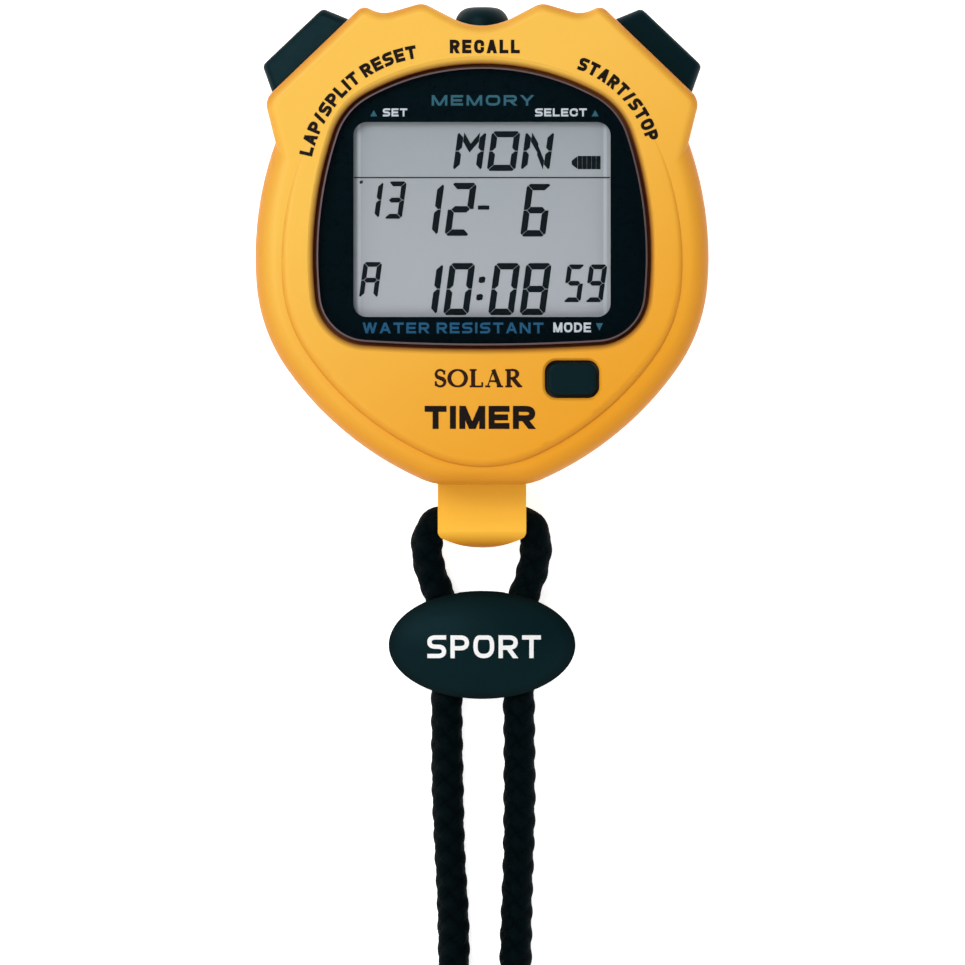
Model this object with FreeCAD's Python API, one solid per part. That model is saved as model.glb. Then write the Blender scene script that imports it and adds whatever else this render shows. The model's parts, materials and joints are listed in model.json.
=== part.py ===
"""Hand-held stopwatch with a liquid-crystal display, four push keys and a neck lanyard.

It lies on its back: +Z points out of the face, +Y towards the top keys and +X to the right.
The origin is on the resting plane, in the middle of the case. Everything is in millimetres.
"""
import FreeCAD, Part
import math
import os

from FreeCAD import Rotation, Vector

# ---- case ----------------------------------------------------------------------------------
FACE_Z = 20.0              # raised plateau of the face
PARTING_Z = 5.5            # rear shell below, front shell above
FLANGE_DROP = 1.1          # how far the flange round the plateau has sunk at its lowest end
FLANGE_TOP_Y = 21.0        # the flange is level with the plateau here
FLANGE_RUN = 51.0          # length over which the flange drops
FRONT_ROUND = 3.0
BACK_ROUND = 3.4
CROWN_ROUND = 1.4
CROWN_BASE_Z = 2.0
CROWN_NOTCH = (0.0, 34.7, 9.0)         # corner (x, y, rounding) of the crown between the top keys
CROWN_CORNERS = [(8.48, 39.11, 2.5), (14.3, 37.4, 4.0), (17.07, 38.73, 1.5), (31.1, 25.3, 2.5),
                 (29.6, 19.3, 3.0), (28.6, 15.4, 0.0)]
PUCK_SIDE = (-16.07, 2.74, 48.54)      # circles (x, y, radius) of the right half outline
PUCK_LOWER = (-10.22, 13.67, 46.69)
PUCK_CORNER_R = 24.5
PUCK_TOP_Y = 24.0
PUCK_BOTTOM_Y = -29.8
PUCK_BOTTOM_R = 9.0
PLATEAU_INSET = 3.5
PLATEAU_BOTTOM_R = 18.7
PLATEAU_BOTTOM_Y = -27.3
PLATEAU_ROUND = 1.2
WALL = 2.4
FRONT_WALL = 2.4
REAR_WALL = 2.2

# ---- window --------------------------------------------------------------------------------
LENS_TOP_ARC = (0.0, -4.1, 34.5)
LENS_SIDE_ARC = (-31.83, 2.8, 56.0)
LENS_BOTTOM_ARC = (0.0, 259.6, 270.0)
LENS_SHOULDER_R = 10.2
LENS_CORNER_R = 7.6
LENS_BEVEL = 0.8
LENS_TOP_Z = 19.35
LENS_T = 1.55
LENS_GAP = 0.5             # the rim is seen all round as a dark line
LENS_EDGE = 0.25           # chamfer round the top of the lens
MASK_T = 0.2
SEAL_T = 0.3
LEDGE_W = 1.9
RIM_W = 1.6
RIM_Z = 16.3

# ---- display -------------------------------------------------------------------------------
WINDOW_X = 18.4
WINDOW_TOP = 22.1
WINDOW_BOTTOM = -5.8
WINDOW_R = 1.9
SOLAR_T = 0.4
POLARIZER_T = 0.2
GLASS_T = 1.05
STRIP_W = 1.4
FRAME_X = 22.0
FRAME_TOP = 26.15
FRAME_BOTTOM = -9.85
FRAME_CORNER_PLANE = 32.2  # upper corners are cut off square to the corner keys
BOARD_TOP_Z = 9.9
BOARD_T = 1.0
BOARD_INSET = 5.0
STRIP_ROWS = (-7.7, 24.0)
BATTERY_AT = (-9.0, -4.0)
BUZZER_AT = (11.5, 3.0)
MODULE_SCREW_AT = ((-20.3, -8.2), (20.3, -8.2), (0.0, 25.55))

# ---- keys ----------------------------------------------------------------------------------
KEY_Z = 12.2
CORNER_FACE = (24.6, 31.7)
CORNER_AXIS = (0.688, 0.7257)
CORNER_POCKET = 2.0
CORNER_HOLE = (15.3, 9.5, 1.3)         # width, depth and corner radius
CORNER_CAP = (15.0, 9.2, 1.2)
CORNER_TIP = (11.9, 7.4, 1.2)
CORNER_CREST = 3.75
RECALL_FACE_Y = 35.85
RECALL_POCKET = 1.8
RECALL_HOLE_R = 4.0
RECALL_CAP_R = 3.85
RECALL_CREST = 2.95
STEM_R = 1.5
BUSH_R = 2.6
BUSH_L = 2.9
RUN_GAP = 0.05
MODE_AT = (12.87, -14.74)
MODE_HOLE = (7.8, 5.4, 1.7)
MODE_CAP = (6.9, 4.5, 1.25)
MODE_FLANGE = (9.6, 5.1, 1.2)

# ---- fasteners -----------------------------------------------------------------------------
SCREW_AT = ((25.4, 17.0), (14.0, -21.3), (-14.0, -21.3), (-25.4, 17.0))
SCREW_R = 1.0
SCREW_HEAD_R = 2.0
BOSS_R = 2.6

# ---- lanyard lug ---------------------------------------------------------------------------
LUG_HALF = 6.38
LUG_ROOT_Y = -26.0
LUG_CORNER_R = 1.2
LUG_END_Y = -38.93
LUG_END_R = 13.3
LUG_LOW_Z = 0.6
LUG_HIGH_Z = 8.8
TUNNEL_Y = -34.7
TUNNEL_Z = 4.7
TUNNEL_R = 2.4

# ---- lanyard -------------------------------------------------------------------------------
CORD_R = 2.2
CORD_FLOOR_Z = 2.25
SLIDER_Y = -53.0
SLIDER_A = 13.5
SLIDER_B = 7.8
SLIDER_T = 8.4
SLIDER_EDGE_Z = 5.9        # top of the slider's upright rim, where its dome begins
DOME_SPREAD = 1.25         # the dome's ellipsoid is this much wider than the slider
SLIDER_GRIP = (5.0, 8.0, 0.6)
MOUTH_TOP_Z = 5.5          # the flared mouths of the channels stay below this
CHANNEL_X = 5.15
CHANNEL_Z = 2.95
CHANNEL_R = 2.45
COIL_R = 24.0
COIL_Y = -149.0
COIL_HALF_W = 6.7
COIL_H = 8.35

# Both strands run from the lug's tunnel, through the slider and along the floor to the coil.
LEFT_ROUTE = [
    (-8.3, -34.7, 4.7), (-8.3, -42.4, 3.6), (-5.15, -48.2, 2.95), (-5.15, -78.0, 2.95),
    (-4.1, -96.0, 2.6), (-4.3, -110.0, 2.9), (-9.0, -117.5, 2.25), (-20.15, -128.85, 2.25),
]
RIGHT_ROUTE = [
    (8.3, -34.7, 4.7), (8.3, -42.4, 3.6), (5.15, -48.2, 2.95), (5.15, -78.0, 2.95),
    (4.6, -96.0, 2.3), (4.8, -108.0, 3.0), (10.2, -119.4, 6.9), (16.6, -127.6, 7.0), (20.1, -132.1, 6.15),
]


# ---- plane outlines ------------------------------------------------------------------------
def blend_circle(first, second, radius):
    """The circle inside two others and tangent to both, on the +X side."""
    (x1, y1, r1), (x2, y2, r2) = first, second
    gap = math.hypot(x2 - x1, y2 - y1)
    ux, uy = (x2 - x1) / gap, (y2 - y1) / gap
    along = ((r1 - radius) ** 2 - (r2 - radius) ** 2 + gap * gap) / (2 * gap)
    aside = math.sqrt((r1 - radius) ** 2 - along * along)
    return max((x1 + along * ux + s * aside * uy, y1 + along * uy - s * aside * ux, radius)
               for s in (1, -1))


def bottom_circle(circle, radius, lowest):
    """The circle inside another, tangent to it and to the line y = lowest."""
    x, y, r = circle
    cy = lowest + radius
    return (x + math.sqrt((r - radius) ** 2 - (cy - y) ** 2), cy, radius)


def touch(first, second):
    """Where two circles, one inside the other, touch."""
    (x1, y1, r1), (x2, y2, r2) = (first, second) if first[2] > second[2] else (second, first)
    gap = math.hypot(x2 - x1, y2 - y1)
    return (x1 + r1 * (x2 - x1) / gap, y1 + r1 * (y2 - y1) / gap)


def at_height(circle, y):
    """The +X point of a circle at a height."""
    return (circle[0] + math.sqrt(circle[2] ** 2 - (y - circle[1]) ** 2), y)


def flat(point, z=0.0):
    return Vector(point[0], point[1], z)


def arc_edge(circle, start, end):
    x, y, r = circle
    first = math.atan2(start[1] - y, start[0] - x)
    turn = (math.atan2(end[1] - y, end[0] - x) - first + math.pi) % (2 * math.pi) - math.pi
    middle = first + turn / 2
    through = (x + r * math.cos(middle), y + r * math.sin(middle))
    return Part.Arc(flat(start), flat(through), flat(end)).toShape()


def line_edge(start, end):
    return Part.LineSegment(flat(start), flat(end)).toShape()


def right_half(circles, start, end):
    """Edges along tangent circles, from the start point to the end point."""
    points = [start] + [touch(a, b) for a, b in zip(circles, circles[1:])] + [end]
    return [arc_edge(c, a, b) for c, a, b in zip(circles, points, points[1:])]


def both_halves(edges):
    """A face from right-half edges that start and end on the middle line."""
    mirrored = [e.mirror(Vector(0, 0, 0), Vector(1, 0, 0)) for e in edges]
    return Part.Face(Part.Wire(Part.__sortEdges__(edges + mirrored)))


def rounded(points):
    """A wire through corner points (x, y, radius) with each corner rounded."""
    count = len(points)
    ends = []
    for i in range(count):
        x, y, r = points[i]
        here = Vector(x, y, 0)
        before = Vector(*points[i - 1][:2], 0) - here
        after = Vector(*points[(i + 1) % count][:2], 0) - here
        if r <= 0:
            ends.append((here, None, here))
            continue
        half = before.getAngle(after) / 2
        reach = r / math.tan(half)
        middle = (before.normalize() + after.normalize()).normalize()
        ends.append((here + before * reach, here + middle * (r / math.sin(half) - r), here + after * reach))
    edges = []
    for i in range(count):
        start, through, end = ends[i]
        if through is not None:
            edges.append(Part.Arc(start, through, end).toShape())
        following = ends[(i + 1) % count][0]
        if (following - end).Length > 1e-6:
            edges.append(Part.LineSegment(end, following).toShape())
    return Part.Wire(edges)


def rectangle(width, depth, radius, at=(0.0, 0.0)):
    x, y = width / 2, depth / 2
    return rounded([(at[0] + sx * x, at[1] + sy * y, radius)
                    for sx, sy in ((1, 1), (-1, 1), (-1, -1), (1, -1))])


def mirrored_points(points):
    """Right-half corner points, top to bottom, with their left-hand twins."""
    left = [(-x, y, r) for x, y, r in reversed(points) if abs(x) > 1e-9]
    return points + left


def prism(outline, low, high):
    face = outline if outline.ShapeType == "Face" else Part.Face(outline)
    return face.translated(Vector(0, 0, low)).extrude(Vector(0, 0, high - low))


def tangent_path(points):
    """A wire of straight runs joined by tangent arcs as large as the runs allow, and the arcs' radii."""
    points = [Vector(*p) for p in points]
    edges, at, radii = [], points[0], []
    for before, corner, after in zip(points, points[1:], points[2:]):
        to_before, to_after = before - corner, after - corner
        reach = 0.45 * min(to_before.Length, to_after.Length)
        half_turn = (math.pi - to_before.getAngle(to_after)) / 2
        radius = reach / math.tan(half_turn)
        start = corner + to_before.normalize() * reach
        end = corner + to_after.normalize() * reach
        inward = (to_before + to_after).normalize()
        middle = corner + inward * (radius / math.cos(half_turn) - radius)
        edges += [Part.LineSegment(at, start).toShape(), Part.Arc(start, middle, end).toShape()]
        at = end
        radii.append(radius)
    edges.append(Part.LineSegment(at, points[-1]).toShape())
    return Part.Wire(edges), radii


def box(low, high):
    return Part.makeBox(high[0] - low[0], high[1] - low[1], high[2] - low[2], Vector(*low))


def puck_outline(inset=0.0, top=PUCK_TOP_Y):
    side = (PUCK_SIDE[0], PUCK_SIDE[1], PUCK_SIDE[2] - inset)
    lower = (PUCK_LOWER[0], PUCK_LOWER[1], PUCK_LOWER[2] - inset)
    corner = blend_circle(side, lower, PUCK_CORNER_R - inset)
    bottom = bottom_circle(lower, PUCK_BOTTOM_R - inset, PUCK_BOTTOM_Y + inset)
    start, end = (bottom[0], bottom[1] - bottom[2]), at_height(side, top)
    edges = [line_edge((0, start[1]), start)]
    edges += right_half([bottom, lower, corner, side], start, end)
    edges.append(line_edge(end, (0, top)))
    return both_halves(edges)


def plateau_outline():
    side = (PUCK_SIDE[0], PUCK_SIDE[1], PUCK_SIDE[2] - PLATEAU_INSET)
    bottom = (0.0, PLATEAU_BOTTOM_Y + PLATEAU_BOTTOM_R, PLATEAU_BOTTOM_R)
    reach = math.hypot(PUCK_LOWER[0], PUCK_LOWER[1] - bottom[1]) + PLATEAU_BOTTOM_R
    lower = (PUCK_LOWER[0], PUCK_LOWER[1], reach)
    corner = blend_circle(side, lower, PUCK_CORNER_R - PLATEAU_INSET)
    top = FLANGE_TOP_Y + 3.0
    end = at_height(side, top)
    edges = right_half([bottom, lower, corner, side], (0, PLATEAU_BOTTOM_Y), end)
    edges.append(line_edge(end, (0, top)))
    return both_halves(edges)


def lens_outline(inset=0.0):
    top = (LENS_TOP_ARC[0], LENS_TOP_ARC[1], LENS_TOP_ARC[2] - inset)
    side = (LENS_SIDE_ARC[0], LENS_SIDE_ARC[1], LENS_SIDE_ARC[2] - inset)
    bottom = (LENS_BOTTOM_ARC[0], LENS_BOTTOM_ARC[1], LENS_BOTTOM_ARC[2] - inset)
    shoulder = blend_circle(side, top, LENS_SHOULDER_R - inset)
    corner = blend_circle(bottom, side, LENS_CORNER_R - inset)
    start, end = (0, bottom[1] - bottom[2]), (0, top[1] + top[2])
    return both_halves(right_half([bottom, corner, side, shoulder, top], start, end))


def crown_outline():
    return rounded([CROWN_NOTCH] + mirrored_points(CROWN_CORNERS))


def cavity_outline():
    side = (PUCK_SIDE[0], PUCK_SIDE[1], PUCK_SIDE[2] - WALL)
    lower = (PUCK_LOWER[0], PUCK_LOWER[1], PUCK_LOWER[2] - WALL)
    corner = blend_circle(side, lower, PUCK_CORNER_R - WALL)
    bottom = bottom_circle(lower, PUCK_BOTTOM_R - WALL, PUCK_BOTTOM_Y + WALL)
    start, end = (bottom[0], bottom[1] - bottom[2]), at_height(side, 18.0)
    edges = [line_edge((0, start[1]), start)]
    edges += right_half([bottom, lower, corner, side], start, end)
    corners = [end, (28.55, 22.23), (18.26, 31.9), (0, 31.9)]
    edges += [line_edge(a, b) for a, b in zip(corners, corners[1:])]
    return both_halves(edges)


# ---- case shells ---------------------------------------------------------------------------
def flange_z(y):
    return FACE_Z - FLANGE_DROP * (FLANGE_TOP_Y - y) / FLANGE_RUN


def under_flange(solid):
    """Cut a solid back to the flange's sloping plane."""
    far = 60.0
    low, high = flange_z(-far), flange_z(far)
    corners = [Vector(-far, -far, low), Vector(-far, far, high), Vector(-far, far, far), Vector(-far, -far, far)]
    return solid.cut(Part.Face(Part.makePolygon(corners + corners[:1])).extrude(Vector(2 * far, 0, 0)))


def edges_between(solid, low, high):
    """Edges that lie wholly between two heights."""
    return [e for e in solid.Edges if e.BoundBox.ZMin > low and e.BoundBox.ZMax < high]


def case_solid():
    puck = under_flange(prism(puck_outline(), 0, FACE_Z + 2))
    puck = puck.makeFillet(FRONT_ROUND, edges_between(puck, FACE_Z - 2, FACE_Z + 2))
    puck = puck.makeFillet(BACK_ROUND, edges_between(puck, -1, 1))
    crown = under_flange(prism(crown_outline(), CROWN_BASE_Z, FACE_Z + 2))
    crown = crown.makeFillet(CROWN_ROUND, edges_between(crown, FACE_Z - 2, FACE_Z + 2))
    crown = crown.makeFillet(CROWN_ROUND, edges_between(crown, 0, CROWN_BASE_Z + 0.1))
    plateau = prism(plateau_outline(), FACE_Z - 3, FACE_Z)
    plateau = plateau.makeFillet(PLATEAU_ROUND, edges_between(plateau, FACE_Z - 0.1, FACE_Z + 0.1))
    return puck.fuse([crown, plateau])


def screw_column(low, high, radius):
    return [Part.makeCylinder(radius, high - low, Vector(x, y, low)) for x, y in SCREW_AT]


def lens_seat():
    """The stepped opening that the lens, mask and solar panel sit in."""
    ledge = LENS_TOP_Z - LENS_T - MASK_T - SEAL_T
    over = 0.5
    bevel = Part.makeLoft([lens_outline().OuterWire.translated(Vector(0, 0, FACE_Z - LENS_BEVEL)),
                           lens_outline(-LENS_BEVEL - over).OuterWire.translated(Vector(0, 0, FACE_Z + over))],
                          True, True)
    return [bevel, prism(lens_outline(), ledge, FACE_Z), prism(lens_outline(LEDGE_W), RIM_Z - 1, FACE_Z)]


def key_frame(face, axis):
    """Placement of a key: local Z outward from the case's face, local X along it."""
    outward = Vector(axis[0], axis[1], 0).normalize()
    along = Vector(outward.y, -outward.x, 0)
    return FreeCAD.Placement(Vector(face[0], face[1], KEY_Z),
                             Rotation(along, outward.cross(along), outward, "ZXY"))


def placed(shape, frame):
    moved = shape.copy()
    moved.Placement = frame.multiply(moved.Placement)
    return moved


def mirror_x(shape):
    return shape.mirror(Vector(0, 0, 0), Vector(1, 0, 0))


CORNER_FRAME = key_frame(CORNER_FACE, CORNER_AXIS)
RECALL_FRAME = key_frame((0.0, RECALL_FACE_Y), (0.0, 1.0))


def corner_pocket():
    pocket = prism(rectangle(*CORNER_HOLE), -CORNER_POCKET, 6.0)
    return placed(pocket.fuse(Part.makeCylinder(BUSH_R, 8, Vector(0, 0, -7))), CORNER_FRAME)


def recall_pocket():
    pocket = Part.makeCylinder(RECALL_HOLE_R, 8, Vector(0, 0, -RECALL_POCKET))
    return placed(pocket.fuse(Part.makeCylinder(BUSH_R, 8, Vector(0, 0, -6))), RECALL_FRAME)


def mode_opening():
    wide, deep, radius = MODE_HOLE
    hole = prism(rectangle(wide, deep, radius, MODE_AT), FACE_Z - 5, FACE_Z + 1)
    lead = 0.35
    flare = Part.makeLoft([rectangle(wide, deep, radius, MODE_AT).translated(Vector(0, 0, FACE_Z - lead)),
                           rectangle(wide + 4 * lead, deep + 4 * lead, radius + 2 * lead, MODE_AT).translated(
                               Vector(0, 0, FACE_Z + lead))], True, True)
    return hole.fuse(flare)


def front_case(solid):
    ceiling = FACE_Z - FRONT_WALL
    upper = solid.common(box((-60, -60, PARTING_Z), (60, 60, 40)))
    hollow = prism(cavity_outline(), PARTING_Z - 1, ceiling)
    rim = prism(lens_outline(-RIM_W), RIM_Z, ceiling + 1)
    hollow = hollow.cut(rim)
    hollow = hollow.cut(Part.makeCompound(screw_column(PARTING_Z, ceiling + 1, BOSS_R)))
    shell = upper.cut(hollow)
    pocket = corner_pocket()
    cuts = lens_seat() + [pocket, mirror_x(pocket), recall_pocket(), mode_opening()]
    cuts += screw_column(PARTING_Z - 1, 12.0, SCREW_R)
    return shell.cut(cuts)


def lug_solid():
    end = Part.makeCylinder(LUG_END_R, LUG_HIGH_Z - LUG_LOW_Z, Vector(0, LUG_END_Y + LUG_END_R, LUG_LOW_Z))
    plan = end.common(box((-LUG_HALF, LUG_END_Y, LUG_LOW_Z), (LUG_HALF, LUG_ROOT_Y, LUG_HIGH_Z)))
    plan = plan.makeFillet(LUG_CORNER_R, [e for e in plan.Edges if e.BoundBox.YMax < TUNNEL_Y
                                          and e.BoundBox.ZMax - e.BoundBox.ZMin > 1])
    side = rounded([(-20.0, LUG_LOW_Z, 0), (LUG_END_Y, LUG_LOW_Z, 3.0),
                    (LUG_END_Y, LUG_HIGH_Z, 3.8), (-20.0, LUG_HIGH_Z, 0)])
    side = Part.Face(side).extrude(Vector(0, 0, 4 * LUG_HALF))
    side.Placement = FreeCAD.Placement(Vector(-2 * LUG_HALF, 0, 0),
                                       Rotation(Vector(0, 1, 0), Vector(0, 0, 1), Vector(1, 0, 0), "ZXY"))
    lug = plan.common(side)
    tunnel = Part.makeCylinder(TUNNEL_R, 30, Vector(-15, TUNNEL_Y, TUNNEL_Z), Vector(1, 0, 0))
    mouths = [Part.makeCone(TUNNEL_R, TUNNEL_R + 1.5, 3.0, Vector(s * (LUG_HALF - 1.8), TUNNEL_Y, TUNNEL_Z),
                            Vector(s, 0, 0)) for s in (1, -1)]
    return lug.cut([tunnel] + mouths)


def rear_case(solid):
    lower = solid.common(box((-60, -60, -5), (60, 60, PARTING_Z)))
    over_lug = solid.common(box((-60, -60, PARTING_Z), (60, 60, 40)))
    lug = lug_solid().cut(over_lug).cut(prism(puck_outline(WALL + 1), 0, 30))
    tray = prism(puck_outline(WALL, 20.0), REAR_WALL, PARTING_Z + 1)
    tray = tray.cut(Part.makeCompound(screw_column(0, PARTING_Z + 1, BOSS_R)))
    shell = lower.fuse(lug).cut(tray)
    cuts = [gasket_ring(PARTING_Z - 0.6, PARTING_Z + 1)]
    cuts += screw_column(-1, PARTING_Z + 1, SCREW_R)
    cuts += screw_column(-1, 1.6, SCREW_HEAD_R + 0.2)
    return shell.cut(cuts)


def gasket_ring(low, high):
    outer = cavity_outline().makeOffset2D(1.5)
    inner = cavity_outline().makeOffset2D(0.7)
    return prism(outer, low, high).cut(prism(inner, low - 1, high + 1))


def case_screws():
    screws = []
    for x, y in SCREW_AT:
        head = Part.makeCylinder(SCREW_HEAD_R, 1.2, Vector(x, y, 0.4))
        head = head.makeFillet(0.3, edges_between(head, 0.3, 0.5))
        slots = [box((x - a, y - b, 0), (x + a, y + b, 0.9)) for a, b in ((1.2, 0.25), (0.25, 1.2))]
        shank = Part.makeCylinder(SCREW_R, 8.4, Vector(x, y, 1.6))
        screws.append(head.fuse(shank).cut(slots))
    return Part.makeCompound(screws)


# ---- window and display --------------------------------------------------------------------
def window_outline(grow=0.0):
    middle = (WINDOW_TOP + WINDOW_BOTTOM) / 2
    return rectangle(2 * (WINDOW_X + grow), WINDOW_TOP - WINDOW_BOTTOM + 2 * grow, WINDOW_R, (0.0, middle))


def lens():
    body = prism(lens_outline(LENS_GAP), LENS_TOP_Z - LENS_T, LENS_TOP_Z)
    return body.makeChamfer(LENS_EDGE, edges_between(body, LENS_TOP_Z - 0.1, LENS_TOP_Z + 0.1))


def display_mask():
    top = LENS_TOP_Z - LENS_T
    return prism(lens_outline(LENS_GAP), top - MASK_T, top).cut(prism(window_outline(), 0, 40))


def lens_seal():
    top = LENS_TOP_Z - LENS_T - MASK_T
    return prism(lens_outline(LENS_GAP), top - SEAL_T, top).cut(prism(lens_outline(LEDGE_W), 0, 40))


def solar_panel():
    top = LENS_TOP_Z - LENS_T - MASK_T
    sheet = prism(lens_outline(LEDGE_W + 0.2), top - SOLAR_T, top)
    return sheet.cut(prism(window_outline(0.6), 0, 40))


def display_sheet(low, high, grow_x, low_y, high_y):
    return prism(rectangle(2 * grow_x, high_y - low_y, 0.3, (0.0, (low_y + high_y) / 2)), low, high)


def display_stack():
    """Polarizer, front glass, rear glass and reflector, from the top down."""
    top = RIM_Z - 0.05
    front = top - POLARIZER_T
    rear = front - GLASS_T
    back = rear - GLASS_T
    return {
        "display_polarizer": display_sheet(front, top, 19.2, -6.5, 22.8),
        "display_glass_front": display_sheet(rear, front, 19.6, -8.6, 24.9),
        "display_glass_rear": display_sheet(back, rear, 19.6, -6.6, 22.9),
        "display_reflector": display_sheet(back - POLARIZER_T, back, 19.2, -6.5, 22.8),
    }


def zebra_strips():
    under_glass = RIM_Z - 0.05 - POLARIZER_T - GLASS_T
    return Part.makeCompound([
        box((-17, y - STRIP_W / 2, BOARD_TOP_Z), (17, y + STRIP_W / 2, under_glass)) for y in STRIP_ROWS])


def module_frame():
    cut_y = (FRAME_CORNER_PLANE - CORNER_AXIS[0] * FRAME_X) / CORNER_AXIS[1]
    cut_x = (FRAME_CORNER_PLANE - CORNER_AXIS[1] * FRAME_TOP) / CORNER_AXIS[0]
    half = [(cut_x, FRAME_TOP, 0.5), (FRAME_X, cut_y, 0.5), (FRAME_X, FRAME_BOTTOM, 1.0)]
    outline = Part.Face(rounded(mirrored_points(half)))
    top = RIM_Z - 0.05
    shelf = top - POLARIZER_T - 2 * GLASS_T - POLARIZER_T
    frame = prism(outline, BOARD_TOP_Z, top)
    cuts = [display_sheet(shelf, top + 1, 19.65, -8.65, 24.95),
            box((-16, -5, BOARD_TOP_Z - 1), (16, 21.5, shelf + 1))]
    cuts += [box((-17.1, y - STRIP_W / 2 - 0.1, BOARD_TOP_Z - 1), (17.1, y + STRIP_W / 2 + 0.1, top))
             for y in STRIP_ROWS]
    return frame.cut(cuts)


# ---- electronics ---------------------------------------------------------------------------
def circuit_board():
    low = BOARD_TOP_Z - BOARD_T
    board = prism(puck_outline(BOARD_INSET, 22.0), low, BOARD_TOP_Z)
    board = board.fuse([box((-21.5, 20, low), (21.5, 27.2, BOARD_TOP_Z)), box((-4, 20, low), (4, 29.6, BOARD_TOP_Z))])
    return board.cut(Part.makeCompound(screw_column(0, 20, BOSS_R + 0.3)))


def blade(frame, depth):
    """A sprung contact blade that stands on the board behind a key's stem."""
    low = BOARD_TOP_Z - KEY_Z
    blade = box((-2.0, -1.4, -depth - 0.3), (2.0, -low, -depth))
    foot = box((-2.0, -low - 0.3, -depth - 0.6), (2.0, -low, -depth))
    return placed(blade.fuse(foot), frame)


def key_contacts():
    corner = blade(CORNER_FRAME, 7.0)
    recall = blade(RECALL_FRAME, 6.7)
    x, y = MODE_AT
    dome = Part.makeSphere(3.6, Vector(x, y, BOARD_TOP_Z - 3.0)).common(
        box((x - 5, y - 5, BOARD_TOP_Z), (x + 5, y + 5, BOARD_TOP_Z + 5)))
    return Part.makeCompound([corner, mirror_x(corner), recall, dome])


def processor_chip():
    low = BOARD_TOP_Z - BOARD_T
    return Part.makeSphere(9.0, Vector(0, 12, low + 7.6)).common(box((-8, 4, 0), (8, 20, low)))


def quartz_crystal():
    low = BOARD_TOP_Z - BOARD_T
    can = Part.makeCylinder(1.0, 6.0, Vector(9.0, 15.0, low - 1.0), Vector(1, 0, 0))
    return can.makeFillet(0.25, [e for e in can.Edges if e.BoundBox.XMin > 14.9])


def board_capacitors():
    low = BOARD_TOP_Z - BOARD_T
    places = [(-12, 16), (-12, 12.5), (-16, 16), (9, 10), (12.5, 10), (16, 10)]
    return Part.makeCompound([box((x, y, low - 0.9), (x + 2.0, y + 1.25, low)) for x, y in places])


def battery_cell():
    can = Part.makeCylinder(10.0, 2.0, Vector(*BATTERY_AT, 5.4))
    lid = Part.makeCylinder(8.6, 0.5, Vector(*BATTERY_AT, 7.4))
    can = can.makeFillet(0.4, edges_between(can, 5.3, 5.5))
    return can.fuse(lid)


def battery_strap():
    """Bent strap that holds the cell against the board."""
    strap = box((-11.5, -15.2, 4.9), (-6.5, 7.2, 5.35))
    legs = [box((-11.5, y, 4.9), (-6.5, y + 0.45, BOARD_TOP_Z - BOARD_T)) for y in (-15.2, 6.75)]
    pad = Part.makeCylinder(3.0, BOARD_TOP_Z - BOARD_T - 7.9, Vector(*BATTERY_AT, 7.9))
    return Part.makeCompound([strap.fuse(legs), pad])


def buzzer():
    x, y = BUZZER_AT
    plate = Part.makeCylinder(9.0, 0.25, Vector(x, y, REAR_WALL))
    ceramic = Part.makeCylinder(6.5, 0.25, Vector(x, y, REAR_WALL + 0.25))
    low = REAR_WALL + 0.5 + 0.3
    spring = coil_spring(1.6, 0.25, BOARD_TOP_Z - BOARD_T - 0.3 - low, 4)
    return {"buzzer_plate": plate, "buzzer_ceramic": ceramic,
            "buzzer_spring": spring.translated(Vector(x, y, low))}


def module_screws():
    screws = []
    for x, y in MODULE_SCREW_AT:
        shank = Part.makeCylinder(0.4, 3.2, Vector(x, y, BOARD_TOP_Z - BOARD_T))
        head = Part.makeCylinder(0.9, 0.6, Vector(x, y, BOARD_TOP_Z - BOARD_T - 0.6))
        screws.append(shank.fuse(head))
    return Part.makeCompound(screws)


# ---- keys ----------------------------------------------------------------------------------
def coil_spring(radius, wire, height, turns):
    """Round wire that climbs in short tangent arcs, starting on the XY plane at +X."""
    per_turn = 8
    step = 2 * math.pi / per_turn
    count = turns * per_turn
    points = [(radius * math.cos(i * step), radius * math.sin(i * step), height * i / count)
              for i in range(count + 1)]
    path = tangent_path(points)[0]
    section = Part.Wire(Part.makeCircle(wire, Vector(*points[0]), Vector(*points[1]) - Vector(*points[0])))
    return path.makePipeShell([section], True, True)


def key_hardware(pocket):
    """Bush, seal, retaining clip and stem of a side key, along its own axis."""
    floor = -pocket
    inner = floor - BUSH_L
    bush = Part.makeCylinder(BUSH_R, BUSH_L, Vector(0, 0, inner))
    bush = bush.cut([Part.makeCylinder(STEM_R + RUN_GAP, 9, Vector(0, 0, inner - 1)),
                     Part.makeCylinder(2.15, 1.2, Vector(0, 0, floor - 1.0))])
    ring = (STEM_R + 0.02 + 2.13) / 2
    seal = Part.makeTorus(ring, ring - STEM_R - 0.02, Vector(0, 0, floor - 0.6))
    clip = Part.makeCylinder(2.2, 0.4, Vector(0, 0, inner - 0.45))
    clip = clip.cut([Part.makeCylinder(1.1, 2, Vector(0, 0, inner - 1)), box((-0.8, 0, inner - 1), (0.8, 3, inner + 1))])
    stem = Part.makeCylinder(STEM_R, 8, Vector(0, 0, inner - 0.8))
    groove = Part.makeCylinder(3, 0.4, Vector(0, 0, inner - 0.45))
    stem = stem.cut(groove.cut(Part.makeCylinder(1.1, 2, Vector(0, 0, inner - 1))))
    return bush, seal, clip, stem


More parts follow.
